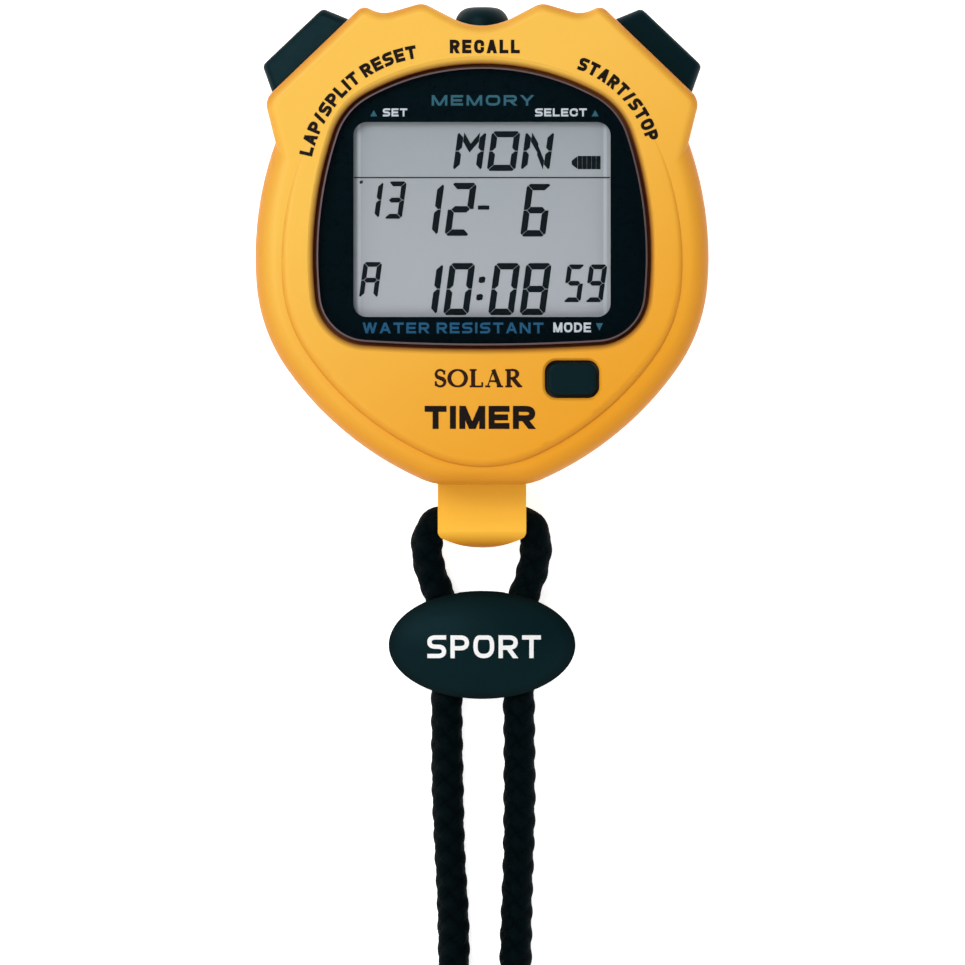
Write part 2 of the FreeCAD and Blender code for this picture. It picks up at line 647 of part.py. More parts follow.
def corner_key():
    """Long rounded cap that narrows outward, with its stem."""
    base = prism(rectangle(*CORNER_CAP), -0.6, 0.2)
    taper = Part.makeLoft([rectangle(*CORNER_CAP).translated(Vector(0, 0, 0.2)),
                           rectangle(*CORNER_TIP).translated(Vector(0, 0, CORNER_CREST))], True, True)
    cap = base.fuse(taper).removeSplitter()
    cap = cap.makeFillet(0.85, [e for e in cap.Edges if e.BoundBox.ZMin > CORNER_CREST - 0.01])
    cap = cap.cut(Part.makeCylinder(3.4, 2.2, Vector(0, 0, -0.6)))
    bush, seal, clip, stem = key_hardware(CORNER_POCKET)
    stem = stem.common(box((-5, -5, -20), (5, 5, 2.0)))
    spring = coil_spring(2.45, 0.25, 3.0, 3).translated(Vector(0, 0, -CORNER_POCKET + 0.3))
    return {"button": cap.fuse(stem), "spring": spring, "seal": seal, "clip": clip, "bush": bush}


def recall_key():
    """Round domed cap with its stem."""
    cap = Part.makeCylinder(RECALL_CAP_R, RECALL_CREST + 0.5, Vector(0, 0, -0.5))
    cap = cap.makeFillet(2.3, [e for e in cap.Edges if e.BoundBox.ZMin > RECALL_CREST - 0.01])
    cap = cap.cut(Part.makeCylinder(3.1, 1.6, Vector(0, 0, -0.5)))
    bush, seal, clip, stem = key_hardware(RECALL_POCKET)
    stem = stem.common(box((-5, -5, -20), (5, 5, 1.5)))
    spring = coil_spring(2.45, 0.25, 2.3, 3).translated(Vector(0, 0, -RECALL_POCKET + 0.3))
    return {"button": cap.fuse(stem), "spring": spring, "seal": seal, "clip": clip, "bush": bush}


def mode_key():
    """Small key in the face: cap, flange under the wall, stem, spring and rubber ring."""
    wide, deep, radius = MODE_CAP
    ceiling = FACE_Z - FRONT_WALL
    crest = FACE_Z + 0.1
    cap = prism(rectangle(wide, deep, radius, MODE_AT), ceiling - 0.3, crest)
    cap = cap.makeFillet(0.4, edges_between(cap, crest - 0.1, crest + 0.1))
    flange = prism(rectangle(*MODE_FLANGE, MODE_AT), ceiling - 0.9, ceiling - 0.05)
    stem = Part.makeCylinder(1.0, 5.5, Vector(*MODE_AT, 11.5))
    ring = prism(rectangle(7.7, 5.3, 1.65, MODE_AT), 18.0, 18.6)
    ring = ring.cut(prism(rectangle(wide, deep, radius, MODE_AT), 0, 40))
    spring = coil_spring(2.3, 0.2, ceiling - 0.9 - BOARD_TOP_Z - 0.5, 5)
    spring = spring.translated(Vector(*MODE_AT, BOARD_TOP_Z + 0.25))
    return {"mode_button": cap.fuse([flange, stem]), "mode_seal": ring, "mode_spring": spring}


# ---- lanyard -------------------------------------------------------------------------------
def lanyard_tube():
    route = list(reversed(LEFT_ROUTE)) + RIGHT_ROUTE
    path, radii = tangent_path(route)
    start = Vector(*route[0])
    heading = Vector(*route[1]) - start
    section = Part.Wire(Part.makeCircle(CORD_R, start, heading))
    tube = path.makePipeShell([section], True, True)
    expected = math.pi * CORD_R ** 2 * path.Length
    print("lanyard tube length %.1f, radii %s" % (path.Length, [round(r, 1) for r in radii]))
    print("tube volume %.1f, section times length %.1f" % (tube.Volume, expected))
    return tube


def coil_ring():
    """Outer shape of the wound part: a ring with a flat base and bevelled shoulders."""
    inner, outer = COIL_R - COIL_HALF_W, COIL_R + COIL_HALF_W
    low, high = CORD_FLOOR_Z - CORD_R, COIL_H
    shoulder = 2.6
    corners = [Vector(inner, 0, low), Vector(outer, 0, low), Vector(outer, 0, high - 4.0),
               Vector(outer - shoulder, 0, high), Vector(inner + shoulder, 0, high), Vector(inner, 0, high - 4.0)]
    ring = Part.Face(Part.makePolygon(corners + corners[:1])).revolve(Vector(0, 0, 0), Vector(0, 0, 1), 360)
    return ring.translated(Vector(0, COIL_Y, 0))


def tie_band():
    """Band closed round the bundle at the coil's far side."""
    half, wall, under = 4.0, 0.8, 0.3
    y = COIL_Y - COIL_R
    reach = COIL_HALF_W + wall
    corners = [(-reach, 0.0, 0.3), (reach, 0.0, 0.3), (reach, COIL_H - 3.2, 2.0), (reach - 3.4, COIL_H + wall, 1.5),
               (-reach + 3.4, COIL_H + wall, 1.5), (-reach, COIL_H - 3.2, 2.0)]
    band = Part.Face(rounded(corners)).extrude(Vector(0, 0, 2 * half))
    band.Placement = FreeCAD.Placement(Vector(-half, y, 0),
                                       Rotation(Vector(0, 1, 0), Vector(0, 0, 1), Vector(1, 0, 0), "ZXY"))
    bundle = coil_ring().common(box((-20, y - 15, under), (20, y + 15, 20)))
    return band.cut(bundle)


def joint_sleeve(tube):
    """Crimped sleeve that joins the two ends of the cord."""
    before, after = Vector(*LEFT_ROUTE[4]), Vector(*LEFT_ROUTE[5])
    heading = (after - before).normalize()
    return Part.makeCylinder(2.65, 6.0, before + heading * 4.2, heading).cut(tube)


def channel(side):
    """A way for one strand through the slider, flared at its upper mouth."""
    x = side * CHANNEL_X
    way = Part.makeCylinder(CHANNEL_R, 40, Vector(x, SLIDER_Y - 20, CHANNEL_Z), Vector(0, 1, 0))
    flare = Part.makeCone(CHANNEL_R, 4.6, 8.0, Vector(side * (CHANNEL_X + 0.1), SLIDER_Y + 2.6, CHANNEL_Z + 0.1),
                          Vector(side * 0.12, 1, 0.06))
    return way.fuse(flare.common(box((-30, SLIDER_Y, -5), (30, SLIDER_Y + 30, MOUTH_TOP_Z))))


def slider_blank():
    """Oval pebble with a flat back and a domed front."""
    ellipse = Part.Wire(Part.Ellipse(Vector(0, SLIDER_Y, 0), SLIDER_A, SLIDER_B).toShape())
    blank = prism(ellipse, 0, SLIDER_T + 1)
    blank = blank.makeFillet(0.8, edges_between(blank, -0.1, 0.1))
    rise = (SLIDER_T - SLIDER_EDGE_Z) / (1 - math.sqrt(1 - 1 / DOME_SPREAD ** 2))
    stretch = FreeCAD.Matrix()
    stretch.scale(SLIDER_A * DOME_SPREAD, SLIDER_B * DOME_SPREAD, rise)
    dome = Part.makeSphere(1.0).transformGeometry(stretch)
    return blank.common(dome.translated(Vector(0, SLIDER_Y, SLIDER_T - rise)))


def slider_parts():
    blank = slider_blank()
    ways = [channel(1), channel(-1)]
    pocket = prism(rectangle(*SLIDER_GRIP, (0.0, SLIDER_Y)), 1.2, 5.0)
    grip = pocket.cut(ways)
    rear = blank.common(box((-20, SLIDER_Y - 20, -1), (20, SLIDER_Y + 20, CHANNEL_Z))).cut(ways + [pocket])
    front = blank.common(box((-20, SLIDER_Y - 20, CHANNEL_Z), (20, SLIDER_Y + 20, 20))).cut(ways + [pocket])
    return {"slider_rear": rear, "slider_front": front, "slider_grip": grip}


def export(name, shape):
    shape.exportStep("parts/%s.step" % name)
    print("%-22s solids %d  volume %9.2f  valid %s" % (
        name, len(shape.Solids), shape.Volume, shape.isValid()))


# ---- everything ----------------------------------------------------------------------------
def main():
    os.makedirs("parts", exist_ok=True)
    solid = case_solid()
    pieces = {"front_case": front_case(solid), "rear_case": rear_case(solid),
              "case_gasket": gasket_ring(PARTING_Z - 0.6, PARTING_Z), "case_screws": case_screws(),
              "lens": lens(), "display_mask": display_mask(), "lens_seal": lens_seal(),
              "solar_panel": solar_panel(), "zebra_strips": zebra_strips(), "module_frame": module_frame(),
              "module_screws": module_screws(), "circuit_board": circuit_board(),
              "key_contacts": key_contacts(), "processor_chip": processor_chip(),
              "quartz_crystal": quartz_crystal(), "board_capacitors": board_capacitors(),
              "battery_cell": battery_cell(), "battery_strap": battery_strap()}
    pieces["module_frame"] = pieces["module_frame"].cut(pieces["module_screws"])
    pieces["circuit_board"] = pieces["circuit_board"].cut(pieces["module_screws"])
    pieces.update(display_stack())
    pieces.update(buzzer())
    for name, shape in corner_key().items():
        right = placed(shape, CORNER_FRAME)
        pieces["start_stop_" + name] = right
        pieces["lap_reset_" + name] = mirror_x(right)
    for name, shape in recall_key().items():
        pieces["recall_" + name] = placed(shape, RECALL_FRAME)
    pieces.update(mode_key())
    tube = lanyard_tube()
    pieces.update({"lanyard_cord": tube, "lanyard_coil": coil_ring().cut(tie_band()), "lanyard_tie": tie_band(),
                   "lanyard_joint": joint_sleeve(tube)})
    pieces.update(slider_parts())
    for name, shape in pieces.items():
        export(name, shape)


main()
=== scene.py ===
"""A solar digital stopwatch on a braided neck lanyard: its looks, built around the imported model, in metres."""
import json
import math

import bmesh
import bpy
import numpy as np
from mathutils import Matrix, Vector
from mathutils.bvhtree import BVHTree


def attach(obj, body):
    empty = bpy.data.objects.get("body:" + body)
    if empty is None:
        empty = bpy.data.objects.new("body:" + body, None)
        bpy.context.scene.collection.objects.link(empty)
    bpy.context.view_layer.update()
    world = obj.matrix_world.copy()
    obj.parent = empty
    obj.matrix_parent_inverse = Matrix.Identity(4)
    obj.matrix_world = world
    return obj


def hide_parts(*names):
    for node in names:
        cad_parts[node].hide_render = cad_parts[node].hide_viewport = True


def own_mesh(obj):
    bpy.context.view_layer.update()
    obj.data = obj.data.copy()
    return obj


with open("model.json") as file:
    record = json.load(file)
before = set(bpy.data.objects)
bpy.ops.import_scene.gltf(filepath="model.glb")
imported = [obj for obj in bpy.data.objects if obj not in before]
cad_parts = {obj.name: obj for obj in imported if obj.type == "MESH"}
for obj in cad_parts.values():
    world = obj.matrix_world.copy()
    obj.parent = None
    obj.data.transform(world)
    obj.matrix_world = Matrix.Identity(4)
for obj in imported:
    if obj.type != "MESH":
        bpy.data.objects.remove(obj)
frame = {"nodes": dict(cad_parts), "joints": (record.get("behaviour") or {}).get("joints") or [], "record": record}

MM = 0.001
NODES = frame["nodes"]
SLOT_OF = {part["node"]: part["material_slot"] for part in frame["record"]["subparts"]}
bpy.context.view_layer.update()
scene = bpy.context.scene


# ---- camera, light and floor ---------------------------------------------------------------
VIEW_WIDTH = 138.8 * MM
VIEW_CENTRE = (0.07 * MM, -29.5 * MM)
FACE_Z = 12 * MM
CAMERA_Z = 1.2
SENSOR = 36.0
CLIP = (0.01, 50)
LIT_POINT = (0, -0.02, 0)
# The room's light by height, from low on the walls to nearly overhead.
ROOM_HEIGHTS = (0.1, 0.8)
ROOM_LIGHT = (0.95, 0.045)
FLOOR_HALF = 3.0
FLOOR_GLOW = 0.75          # the floor is a lit white panel, so shadows on it stay faint


def link(obj):
    scene.collection.objects.link(obj)
    return obj


def add_camera():
    data = bpy.data.cameras.new("camera")
    data.sensor_width = SENSOR
    data.lens = SENSOR * (CAMERA_Z - FACE_Z) / VIEW_WIDTH
    data.clip_start, data.clip_end = CLIP
    camera = link(bpy.data.objects.new("camera", data))
    camera.location = (*VIEW_CENTRE, CAMERA_Z)
    scene.camera = camera


def add_softbox(name, place, side, power):
    """A square soft light aimed at the middle of the object."""
    data = bpy.data.lights.new(name, "AREA")
    data.shape = "RECTANGLE"
    data.size = data.size_y = side
    data.energy = power
    lamp = link(bpy.data.objects.new(name, data))
    lamp.location = place
    lamp.rotation_euler = (Vector(LIT_POINT) - Vector(place)).to_track_quat("-Z", "Y").to_euler()


def add_surroundings():
    """A pale room that is darker overhead, so that dark gloss stays dark from above."""
    world = bpy.data.worlds.new("studio")
    world.use_nodes = True
    tree = world.node_tree
    background = tree.nodes["Background"]
    place = add(tree, "TexCoord").outputs["Generated"]
    height = add(tree, "SeparateXYZ", {"Vector": place}).outputs["Z"]
    (low, high), (bright, dim) = ROOM_HEIGHTS, ROOM_LIGHT
    strength = add(tree, "MapRange", {"Value": height, "From Min": low, "From Max": high,
                                      "To Min": bright, "To Max": dim}, interpolation_type="SMOOTHSTEP")
    tree.links.new(strength.outputs["Result"], background.inputs["Strength"])
    background.inputs["Color"].default_value = (1, 1, 1, 1)
    scene.world = world
    scene.view_settings.view_transform = "Standard"


def add_floor():
    corners = [(FLOOR_HALF * x, FLOOR_HALF * y, 0) for x, y in ((-1, -1), (1, -1), (1, 1), (-1, 1))]
    mesh = bpy.data.meshes.new("floor")
    mesh.from_pydata(corners, [], [(0, 1, 2, 3)])
    floor = link(bpy.data.objects.new("floor", mesh))
    mat, _, shader = new_material("floor")
    shader.inputs["Base Color"].default_value = (0.93, 0.93, 0.93, 1)
    shader.inputs["Roughness"].default_value = 0.9
    shader.inputs["Specular IOR Level"].default_value = 0.1
    shader.inputs["Emission Color"].default_value = (1, 1, 1, 1)
    shader.inputs["Emission Strength"].default_value = FLOOR_GLOW
    mesh.materials.append(mat)


# ---- shader building -----------------------------------------------------------------------
def add(tree, kind, inputs=(), **settings):
    """A shader node with its settings; an input is a value or another node's output."""
    made = tree.nodes.new("ShaderNode" + kind)
    for key, value in settings.items():
        setattr(made, key, value)
    for key, value in dict(inputs).items():
        if isinstance(value, bpy.types.NodeSocket):
            tree.links.new(value, made.inputs[key])
        else:
            made.inputs[key].default_value = value
    return made


def new_material(name):
    mat = bpy.data.materials.new(name)
    mat.use_nodes = True
    tree = mat.node_tree
    return mat, tree, tree.nodes["Principled BSDF"]


def here(tree):
    return add(tree, "TexCoord").outputs["Object"]


def noise(tree, place, scale, detail=2.0, roughness=0.5):
    made = add(tree, "TexNoise", {"Vector": place, "Scale": scale, "Detail": detail, "Roughness": roughness})
    return made.outputs["Fac"]


def spread(tree, value, low, high, out_low=0.0, out_high=1.0):
    made = add(tree, "MapRange", {"Value": value, "From Min": low, "From Max": high,
                                  "To Min": out_low, "To Max": out_high})
    return made.outputs["Result"]


def maths(tree, operation, first, second=0.0):
    return add(tree, "Math", {0: first, 1: second}, operation=operation).outputs[0]


def mix(tree, factor, first, second):
    made = add(tree, "Mix", {0: factor, 6: first, 7: second}, data_type="RGBA")
    return made.outputs[2]


def bump(tree, height, distance, strength=1.0, normal=None):
    inputs = {"Height": height, "Distance": distance, "Strength": strength}
    if normal is not None:
        inputs["Normal"] = normal
    return add(tree, "Bump", inputs).outputs["Normal"]


def colour(red, green, blue):
    return (red, green, blue, 1.0)


def plastic(name, tone, other, rough=(0.4, 0.5), grain=(2500, 0.006), patch=60, specular=0.5,
            tint=(1, 1, 1)):
    """Moulded plastic or rubber: two near tones in soft patches, wandering roughness and a fine grain."""
    mat, tree, shader = new_material(name)
    place = here(tree)
    patches = spread(tree, noise(tree, place, patch, 3), 0.35, 0.65)
    fine = noise(tree, place, grain[0], 4, 0.6)
    tree.links.new(mix(tree, patches, tone, other), shader.inputs["Base Color"])
    tree.links.new(spread(tree, fine, 0.3, 0.7, *rough), shader.inputs["Roughness"])
    tree.links.new(bump(tree, fine, grain[1] * MM), shader.inputs["Normal"])
    shader.inputs["Specular IOR Level"].default_value = specular
    shader.inputs["Specular Tint"].default_value = colour(*tint)
    return mat


def metal(name, tone, other, rough=(0.22, 0.4), stretch=(1, 30, 1), scale=900):
    """Plated or drawn metal with fine lines along one direction and a few duller patches."""
    mat, tree, shader = new_material(name)
    place = here(tree)
    drawn = add(tree, "Mapping", {"Vector": place, "Scale": stretch}).outputs["Vector"]
    lines = noise(tree, drawn, scale, 3)
    patches = spread(tree, noise(tree, place, 250, 3), 0.35, 0.65)
    tree.links.new(mix(tree, patches, tone, other), shader.inputs["Base Color"])
    tree.links.new(spread(tree, lines, 0.3, 0.7, *rough), shader.inputs["Roughness"])
    tree.links.new(bump(tree, lines, 0.002 * MM), shader.inputs["Normal"])
    shader.inputs["Metallic"].default_value = 1.0
    return mat


# ---- the finishes of the record's slots -----------------------------------------------------
COOL_GLOSS = (0.35, 0.85, 1.0)
CASE_MIDDLE = (0.0, 5 * MM, 20 * MM)
# Painted light: the span of the slant from the shaded lower right to the lit top left of the case.
LIGHT_SLANT_SPAN = (-26 * MM, 20 * MM)
# Painted light: the height span over which the back shell and lug are painted paler.
BACK_LIGHT_SPAN = (13 * MM, 9 * MM)
# Painted shade: how far out the round edges deepen.
EDGE_SHADE_SPAN = (3 * MM, 32 * MM)
# Painted shade: where the groove round the lens is painted dark.
GROOVE_CENTRE_Y = 9.5 * MM
GROOVE_SOFTNESS = 0.5 * MM
GROOVE_HALVES = (25 * MM, 22.3 * MM, 42 * MM)     # how far it reaches: across, up and cornerwise
GROOVE_FLOOR, GROOVE_LIP = (15.5 * MM, 16 * MM), (19.9 * MM, 19.2 * MM)
# The case's own yellow in painted shade and in painted light.
CASE_TONE_SHADED, CASE_TONE_LIT = colour(0.81, 0.325, 0.008), colour(0.90, 0.515, 0.073)
# Painted light: the paler tone of the back shell and lug.
CASE_BACK_PAINTED_LIGHT = colour(0.97, 0.515, 0.042)
# Painted shade: the deeper tone of the round edges.
CASE_EDGE_SHADE = colour(0.58, 0.20, 0.002)
# Painted shade: the dark of the groove round the lens.
CASE_GROOVE_SHADE = colour(0.16, 0.035, 0.004)
CASE_PATCH = colour(0.93, 0.46, 0.06)


def case_material():
    """Warm yellow ABS with a fine satin grain.

    Its colour holds painted light and shade: paler towards the top left and on the back shell and lug as painted
    light, deeper on round edges as painted shade, and dark in the groove round the lens as painted shade.
    """
    mat, tree, shader = new_material("case_yellow")
    place = here(tree)
    split = add(tree, "SeparateXYZ", {"Vector": place})
    # Painted light: the colour runs from a shaded tone at the lower right to a lit tone at the top left.
    toward_light = maths(tree, "ADD", maths(tree, "MULTIPLY", split.outputs["X"], -0.5),
                  maths(tree, "MULTIPLY", split.outputs["Y"], 0.8))
    base = mix(tree, spread(tree, toward_light, *LIGHT_SLANT_SPAN), CASE_TONE_SHADED, CASE_TONE_LIT)
    # Painted light: low on the case, the back shell and lug are painted paler, lifting them out of the case's
    # shade.
    base = mix(tree, spread(tree, split.outputs["Z"], *BACK_LIGHT_SPAN), base, CASE_BACK_PAINTED_LIGHT)
    # Painted shade: surfaces that turn outward, on the round edges, are painted deeper.
    from_middle = add(tree, "VectorMath", {0: place, 1: CASE_MIDDLE}, operation="SUBTRACT").outputs["Vector"]
    normal = add(tree, "NewGeometry").outputs["Normal"]
    outward = add(tree, "VectorMath", {0: from_middle, 1: normal}, operation="DOT_PRODUCT").outputs["Value"]
    base = mix(tree, spread(tree, outward, *EDGE_SHADE_SPAN), base, CASE_EDGE_SHADE)
    # Painted shade: the groove between the lens and the crown is painted dark.
    across = maths(tree, "ABSOLUTE", split.outputs["X"])
    up_down = maths(tree, "ABSOLUTE", maths(tree, "SUBTRACT", split.outputs["Y"], GROOVE_CENTRE_Y))
    groove = spread(tree, split.outputs["Z"], *GROOVE_LIP)
    for measure, end in zip((across, up_down, maths(tree, "ADD", across, up_down)), GROOVE_HALVES):
        groove = maths(tree, "MULTIPLY", groove, spread(tree, measure, end, end - GROOVE_SOFTNESS))
    groove = maths(tree, "MULTIPLY", groove, spread(tree, split.outputs["Z"], *GROOVE_FLOOR))
    base = mix(tree, groove, base, CASE_GROOVE_SHADE)
    patches = spread(tree, noise(tree, place, 45, 3), 0.35, 0.65, 0.0, 0.1)
    tree.links.new(mix(tree, patches, base, CASE_PATCH), shader.inputs["Base Color"])
    fine = noise(tree, place, 2600, 4, 0.6)
    tree.links.new(spread(tree, fine, 0.3, 0.7, 0.38, 0.5), shader.inputs["Roughness"])
    tree.links.new(bump(tree, fine, 0.005 * MM), shader.inputs["Normal"])
    shader.inputs["Specular IOR Level"].default_value = 0.2
    return mat


RIM_FACING = (0.97, 0.9)   # the lens's rim begins where its surface turns this far from level


def lens_material():
    """Clear hard-coated acrylic; its bevelled edge is pale and dull, a painted highlight for the light it catches.
    """
    mat, tree, bevel_highlight = new_material("lens_clear")
    # Painted highlight: the bevelled edge's pale base colour stands in for the light it catches.
    bevel_highlight.inputs["Base Color"].default_value = colour(0.17, 0.125, 0.145)
    bevel_highlight.inputs["Roughness"].default_value = 0.4
    out = tree.nodes["Material Output"]
    clear = add(tree, "BsdfTransparent", {"Color": colour(0.97, 0.985, 1.0)})
    gloss = add(tree, "BsdfGlossy", {"Color": colour(0.6, 0.85, 1.0), "Roughness": 0.03})
    outside = maths(tree, "SUBTRACT", 1.0, add(tree, "NewGeometry").outputs["Backfacing"])
    share = maths(tree, "MULTIPLY", add(tree, "Fresnel", {"IOR": 1.42}).outputs["Fac"], outside)
    pane = add(tree, "MixShader", {0: share, 1: clear.outputs[0], 2: gloss.outputs[0]})
    facing = add(tree, "SeparateXYZ", {"Vector": add(tree, "NewGeometry").outputs["True Normal"]}).outputs["Z"]
    # Painted highlight: where the surface tilts from level, the bevel takes the pale dull shader.
    bevel_highlight_share = spread(tree, maths(tree, "ABSOLUTE", facing), *RIM_FACING)
    whole = add(tree, "MixShader", {0: bevel_highlight_share, 1: pane.outputs[0], 2: bevel_highlight.outputs[0]})
    tree.links.new(whole.outputs[0], out.inputs["Surface"])
    return mat


EDGE_LINE_IN, EDGE_LINE_OUT = (17.3 * MM, 17.5 * MM), (18.0 * MM, 17.8 * MM)


def display_material():
    """Grey polarizing film, darker and slightly greener at the top as painted shade, with a paler line inside each
    side edge.
    """
    mat, tree, shader = new_material("display_film")
    place = here(tree)
    split = add(tree, "SeparateXYZ", {"Vector": place})
    across = maths(tree, "ABSOLUTE", split.outputs["X"])
    # Painted shade: the film darkens towards its top edge.
    height = spread(tree, split.outputs["Y"], -0.005, 0.022)
    base = mix(tree, height, colour(0.49, 0.485, 0.495), colour(0.40, 0.42, 0.42))
    edge = maths(tree, "MULTIPLY", spread(tree, across, *EDGE_LINE_IN), spread(tree, across, *EDGE_LINE_OUT))
    base = mix(tree, maths(tree, "MULTIPLY", edge, 0.5), base, colour(0.74, 0.76, 0.77))
    cloud = spread(tree, noise(tree, place, 110, 2), 0.3, 0.7, 0.0, 0.12)
    tree.links.new(mix(tree, cloud, base, colour(0.41, 0.42, 0.43)), shader.inputs["Base Color"])
    shader.inputs["Roughness"].default_value = 0.35
    shader.inputs["Specular IOR Level"].default_value = 0.3
    tree.links.new(bump(tree, noise(tree, place, 4000, 2), 0.002 * MM), shader.inputs["Normal"])
    return mat


def board_material():
    """Green solder mask with darker copper tracks under it."""
    mat, tree, shader = new_material("board_green")
    place = here(tree)
    tracks = add(tree, "TexVoronoi", {"Vector": place, "Scale": 420},
                 feature="DISTANCE_TO_EDGE", distance="MANHATTAN")
    shown = spread(tree, tracks.outputs["Distance"], 0.02, 0.08)
    tone = mix(tree, shown, colour(0.07, 0.3, 0.12), colour(0.02, 0.13, 0.05))
    tree.links.new(tone, shader.inputs["Base Color"])
    tree.links.new(bump(tree, shown, -0.03 * MM), shader.inputs["Normal"])
    shader.inputs["Roughness"].default_value = 0.35
    return mat


def layered_material():
    """Conductive rubber in fine alternate layers."""
    mat, tree, shader = new_material("zebra_rubber")
    bands = add(tree, "TexWave", {"Vector": here(tree), "Scale": 1500}, bands_direction="X").outputs["Fac"]
    tone = mix(tree, bands, colour(0.02, 0.02, 0.02), colour(0.6, 0.33, 0.3))
    tree.links.new(tone, shader.inputs["Base Color"])
    shader.inputs["Roughness"].default_value = 0.7
    return mat


def solar_material():
    """Dark amorphous cell with fine dividing lines."""
    mat, tree, shader = new_material("solar_brown")
    bands = add(tree, "TexWave", {"Vector": here(tree), "Scale": 60}, bands_direction="Y").outputs["Fac"]
    line = spread(tree, bands, 0.97, 1.0)
    tone = mix(tree, line, colour(0.016, 0.009, 0.008), colour(0.08, 0.06, 0.05))
    tree.links.new(tone, shader.inputs["Base Color"])
    shader.inputs["Roughness"].default_value = 0.25
    return mat


def thin_glass_material():
    mat, _, shader = new_material("display_glass")
    shader.inputs["Base Color"].default_value = colour(0.85, 0.9, 0.88)
    shader.inputs["Roughness"].default_value = 0.05
    shader.inputs["Alpha"].default_value = 0.35
    return mat


def cord_material():
    """Black polyester braid: yarns run along each strand; its crown is painted paler and the hollows darker, as
    painted light and shade.
    """
    mat, tree, shader = new_material("cord_black")
    rise = add(tree, "Attribute", attribute_name="rise").outputs["Fac"]
    across = add(tree, "Attribute", attribute_name="across").outputs["Fac"]
    along = add(tree, "Attribute", attribute_name="along").outputs["Fac"]
    place = add(tree, "CombineXYZ", {"X": maths(tree, "MULTIPLY", across, 9.0), "Y": along}).outputs["Vector"]
    yarn = noise(tree, place, 1.0, 3, 0.6)
    # Painted light and shade: by the strand's rise, strand tops are paler and the hollows between strands darker.
    crown = spread(tree, rise, 0.35, 1.0)
    fuzz = noise(tree, here(tree), 3000, 3, 0.7)
    painted_crown_light = maths(tree, "MULTIPLY", crown, spread(tree, yarn, 0.35, 0.7))
    tone = mix(tree, painted_crown_light, colour(0.0003, 0.0011, 0.0015), colour(0.0020, 0.0046, 0.0056))
    tree.links.new(tone, shader.inputs["Base Color"])
    tree.links.new(spread(tree, yarn, 0.3, 0.7, 0.6, 0.85), shader.inputs["Roughness"])
    fine = bump(tree, fuzz, 0.02 * MM)
    tree.links.new(bump(tree, yarn, 0.09 * MM, 1.0, fine), shader.inputs["Normal"])
    shader.inputs["Specular IOR Level"].default_value = 0.05
    shader.inputs["Specular Tint"].default_value = colour(*COOL_GLOSS)
    return mat


def tape_material():
    """Woven hook-and-loop tape: a fine over-and-under weave."""
    mat, tree, shader = new_material("tie_black")
    place = here(tree)
    weave = add(tree, "TexChecker", {"Vector": place, "Scale": 1400}).outputs["Fac"]
    pile = noise(tree, place, 1800, 4, 0.7)
    height = maths(tree, "ADD", maths(tree, "MULTIPLY", weave, 0.5), pile)
    tone = mix(tree, pile, colour(0.006, 0.007, 0.008), colour(0.03, 0.032, 0.034))
    tree.links.new(tone, shader.inputs["Base Color"])
    tree.links.new(bump(tree, height, 0.12 * MM), shader.inputs["Normal"])
    shader.inputs["Roughness"].default_value = 0.9
    shader.inputs["Specular IOR Level"].default_value = 0.2
    return mat


def slider_material():
    """Dark moulded plastic, with painted shade: darker still in a band round the dome's edge."""
    mat = plastic("slider_black", colour(0.0009, 0.0078, 0.0098), colour(0.0013, 0.0092, 0.0112),
                  (0.45, 0.55), (1800, 0.003), 70, 0.12, COOL_GLOSS)
    tree = mat.node_tree
    socket = tree.nodes["Principled BSDF"].inputs["Base Color"]
    # Painted shade: the band low on the dome, round its edge, is darkened.
    rise = add(tree, "SeparateXYZ", {"Vector": here(tree)}).outputs["Z"]
    tree.links.new(mix(tree, spread(tree, rise, 5.9 * MM, 6.7 * MM), colour(0.0005, 0.0030, 0.0036),
                       socket.links[0].from_socket), socket)
    return mat


FINISHES = {
    "case_yellow": case_material(),
    "lens_clear": lens_material(),
    "mask_black": plastic("mask_black", colour(0.0002, 0.0026, 0.0040), colour(0.0003, 0.0031, 0.0046),
                          (0.25, 0.35), (1500, 0.001), 40, 0.06, COOL_GLOSS),
    "solar_brown": solar_material(),
    "display_glass": thin_glass_material(),
    "display_film": display_material(),
    "display_silver": metal("display_silver", colour(0.6, 0.62, 0.62), colour(0.66, 0.67, 0.66),
                            (0.35, 0.5)),
    "board_green": board_material(),
    "chip_black": plastic("chip_black", colour(0.015, 0.015, 0.017), colour(0.024, 0.023, 0.024), (0.5, 0.7)),
    "nickel": metal("nickel", colour(0.66, 0.65, 0.62), colour(0.74, 0.73, 0.70)),
    "ceramic_tan": plastic("ceramic_tan", colour(0.62, 0.52, 0.40), colour(0.55, 0.45, 0.34), (0.5, 0.7)),
    "brass": metal("brass", colour(0.78, 0.60, 0.26), colour(0.66, 0.48, 0.20)),
    "frame_white": plastic("frame_white", colour(0.75, 0.75, 0.72), colour(0.70, 0.70, 0.67)),
    "zebra_rubber": layered_material(),
    "seal_rubber": plastic("seal_rubber", colour(0.012, 0.012, 0.012), colour(0.02, 0.02, 0.021), (0.55, 0.75)),
    "key_black": plastic("key_black", colour(0.0014, 0.0082, 0.0105), colour(0.0020, 0.0100, 0.0125),
                         (0.42, 0.54), (2200, 0.004), 90, 0.13, COOL_GLOSS),
    "spring_steel": metal("spring_steel", colour(0.55, 0.55, 0.55), colour(0.62, 0.62, 0.61)),
    "cord_black": cord_material(),
    "tie_black": tape_material(),
    "sleeve_black": plastic("sleeve_black", colour(0.010, 0.010, 0.011), colour(0.016, 0.016, 0.017),
                            (0.45, 0.6)),
    "slider_black": slider_material(),
    "grip_rubber": plastic("grip_rubber", colour(0.03, 0.03, 0.03), colour(0.04, 0.04, 0.04), (0.6, 0.8)),
}


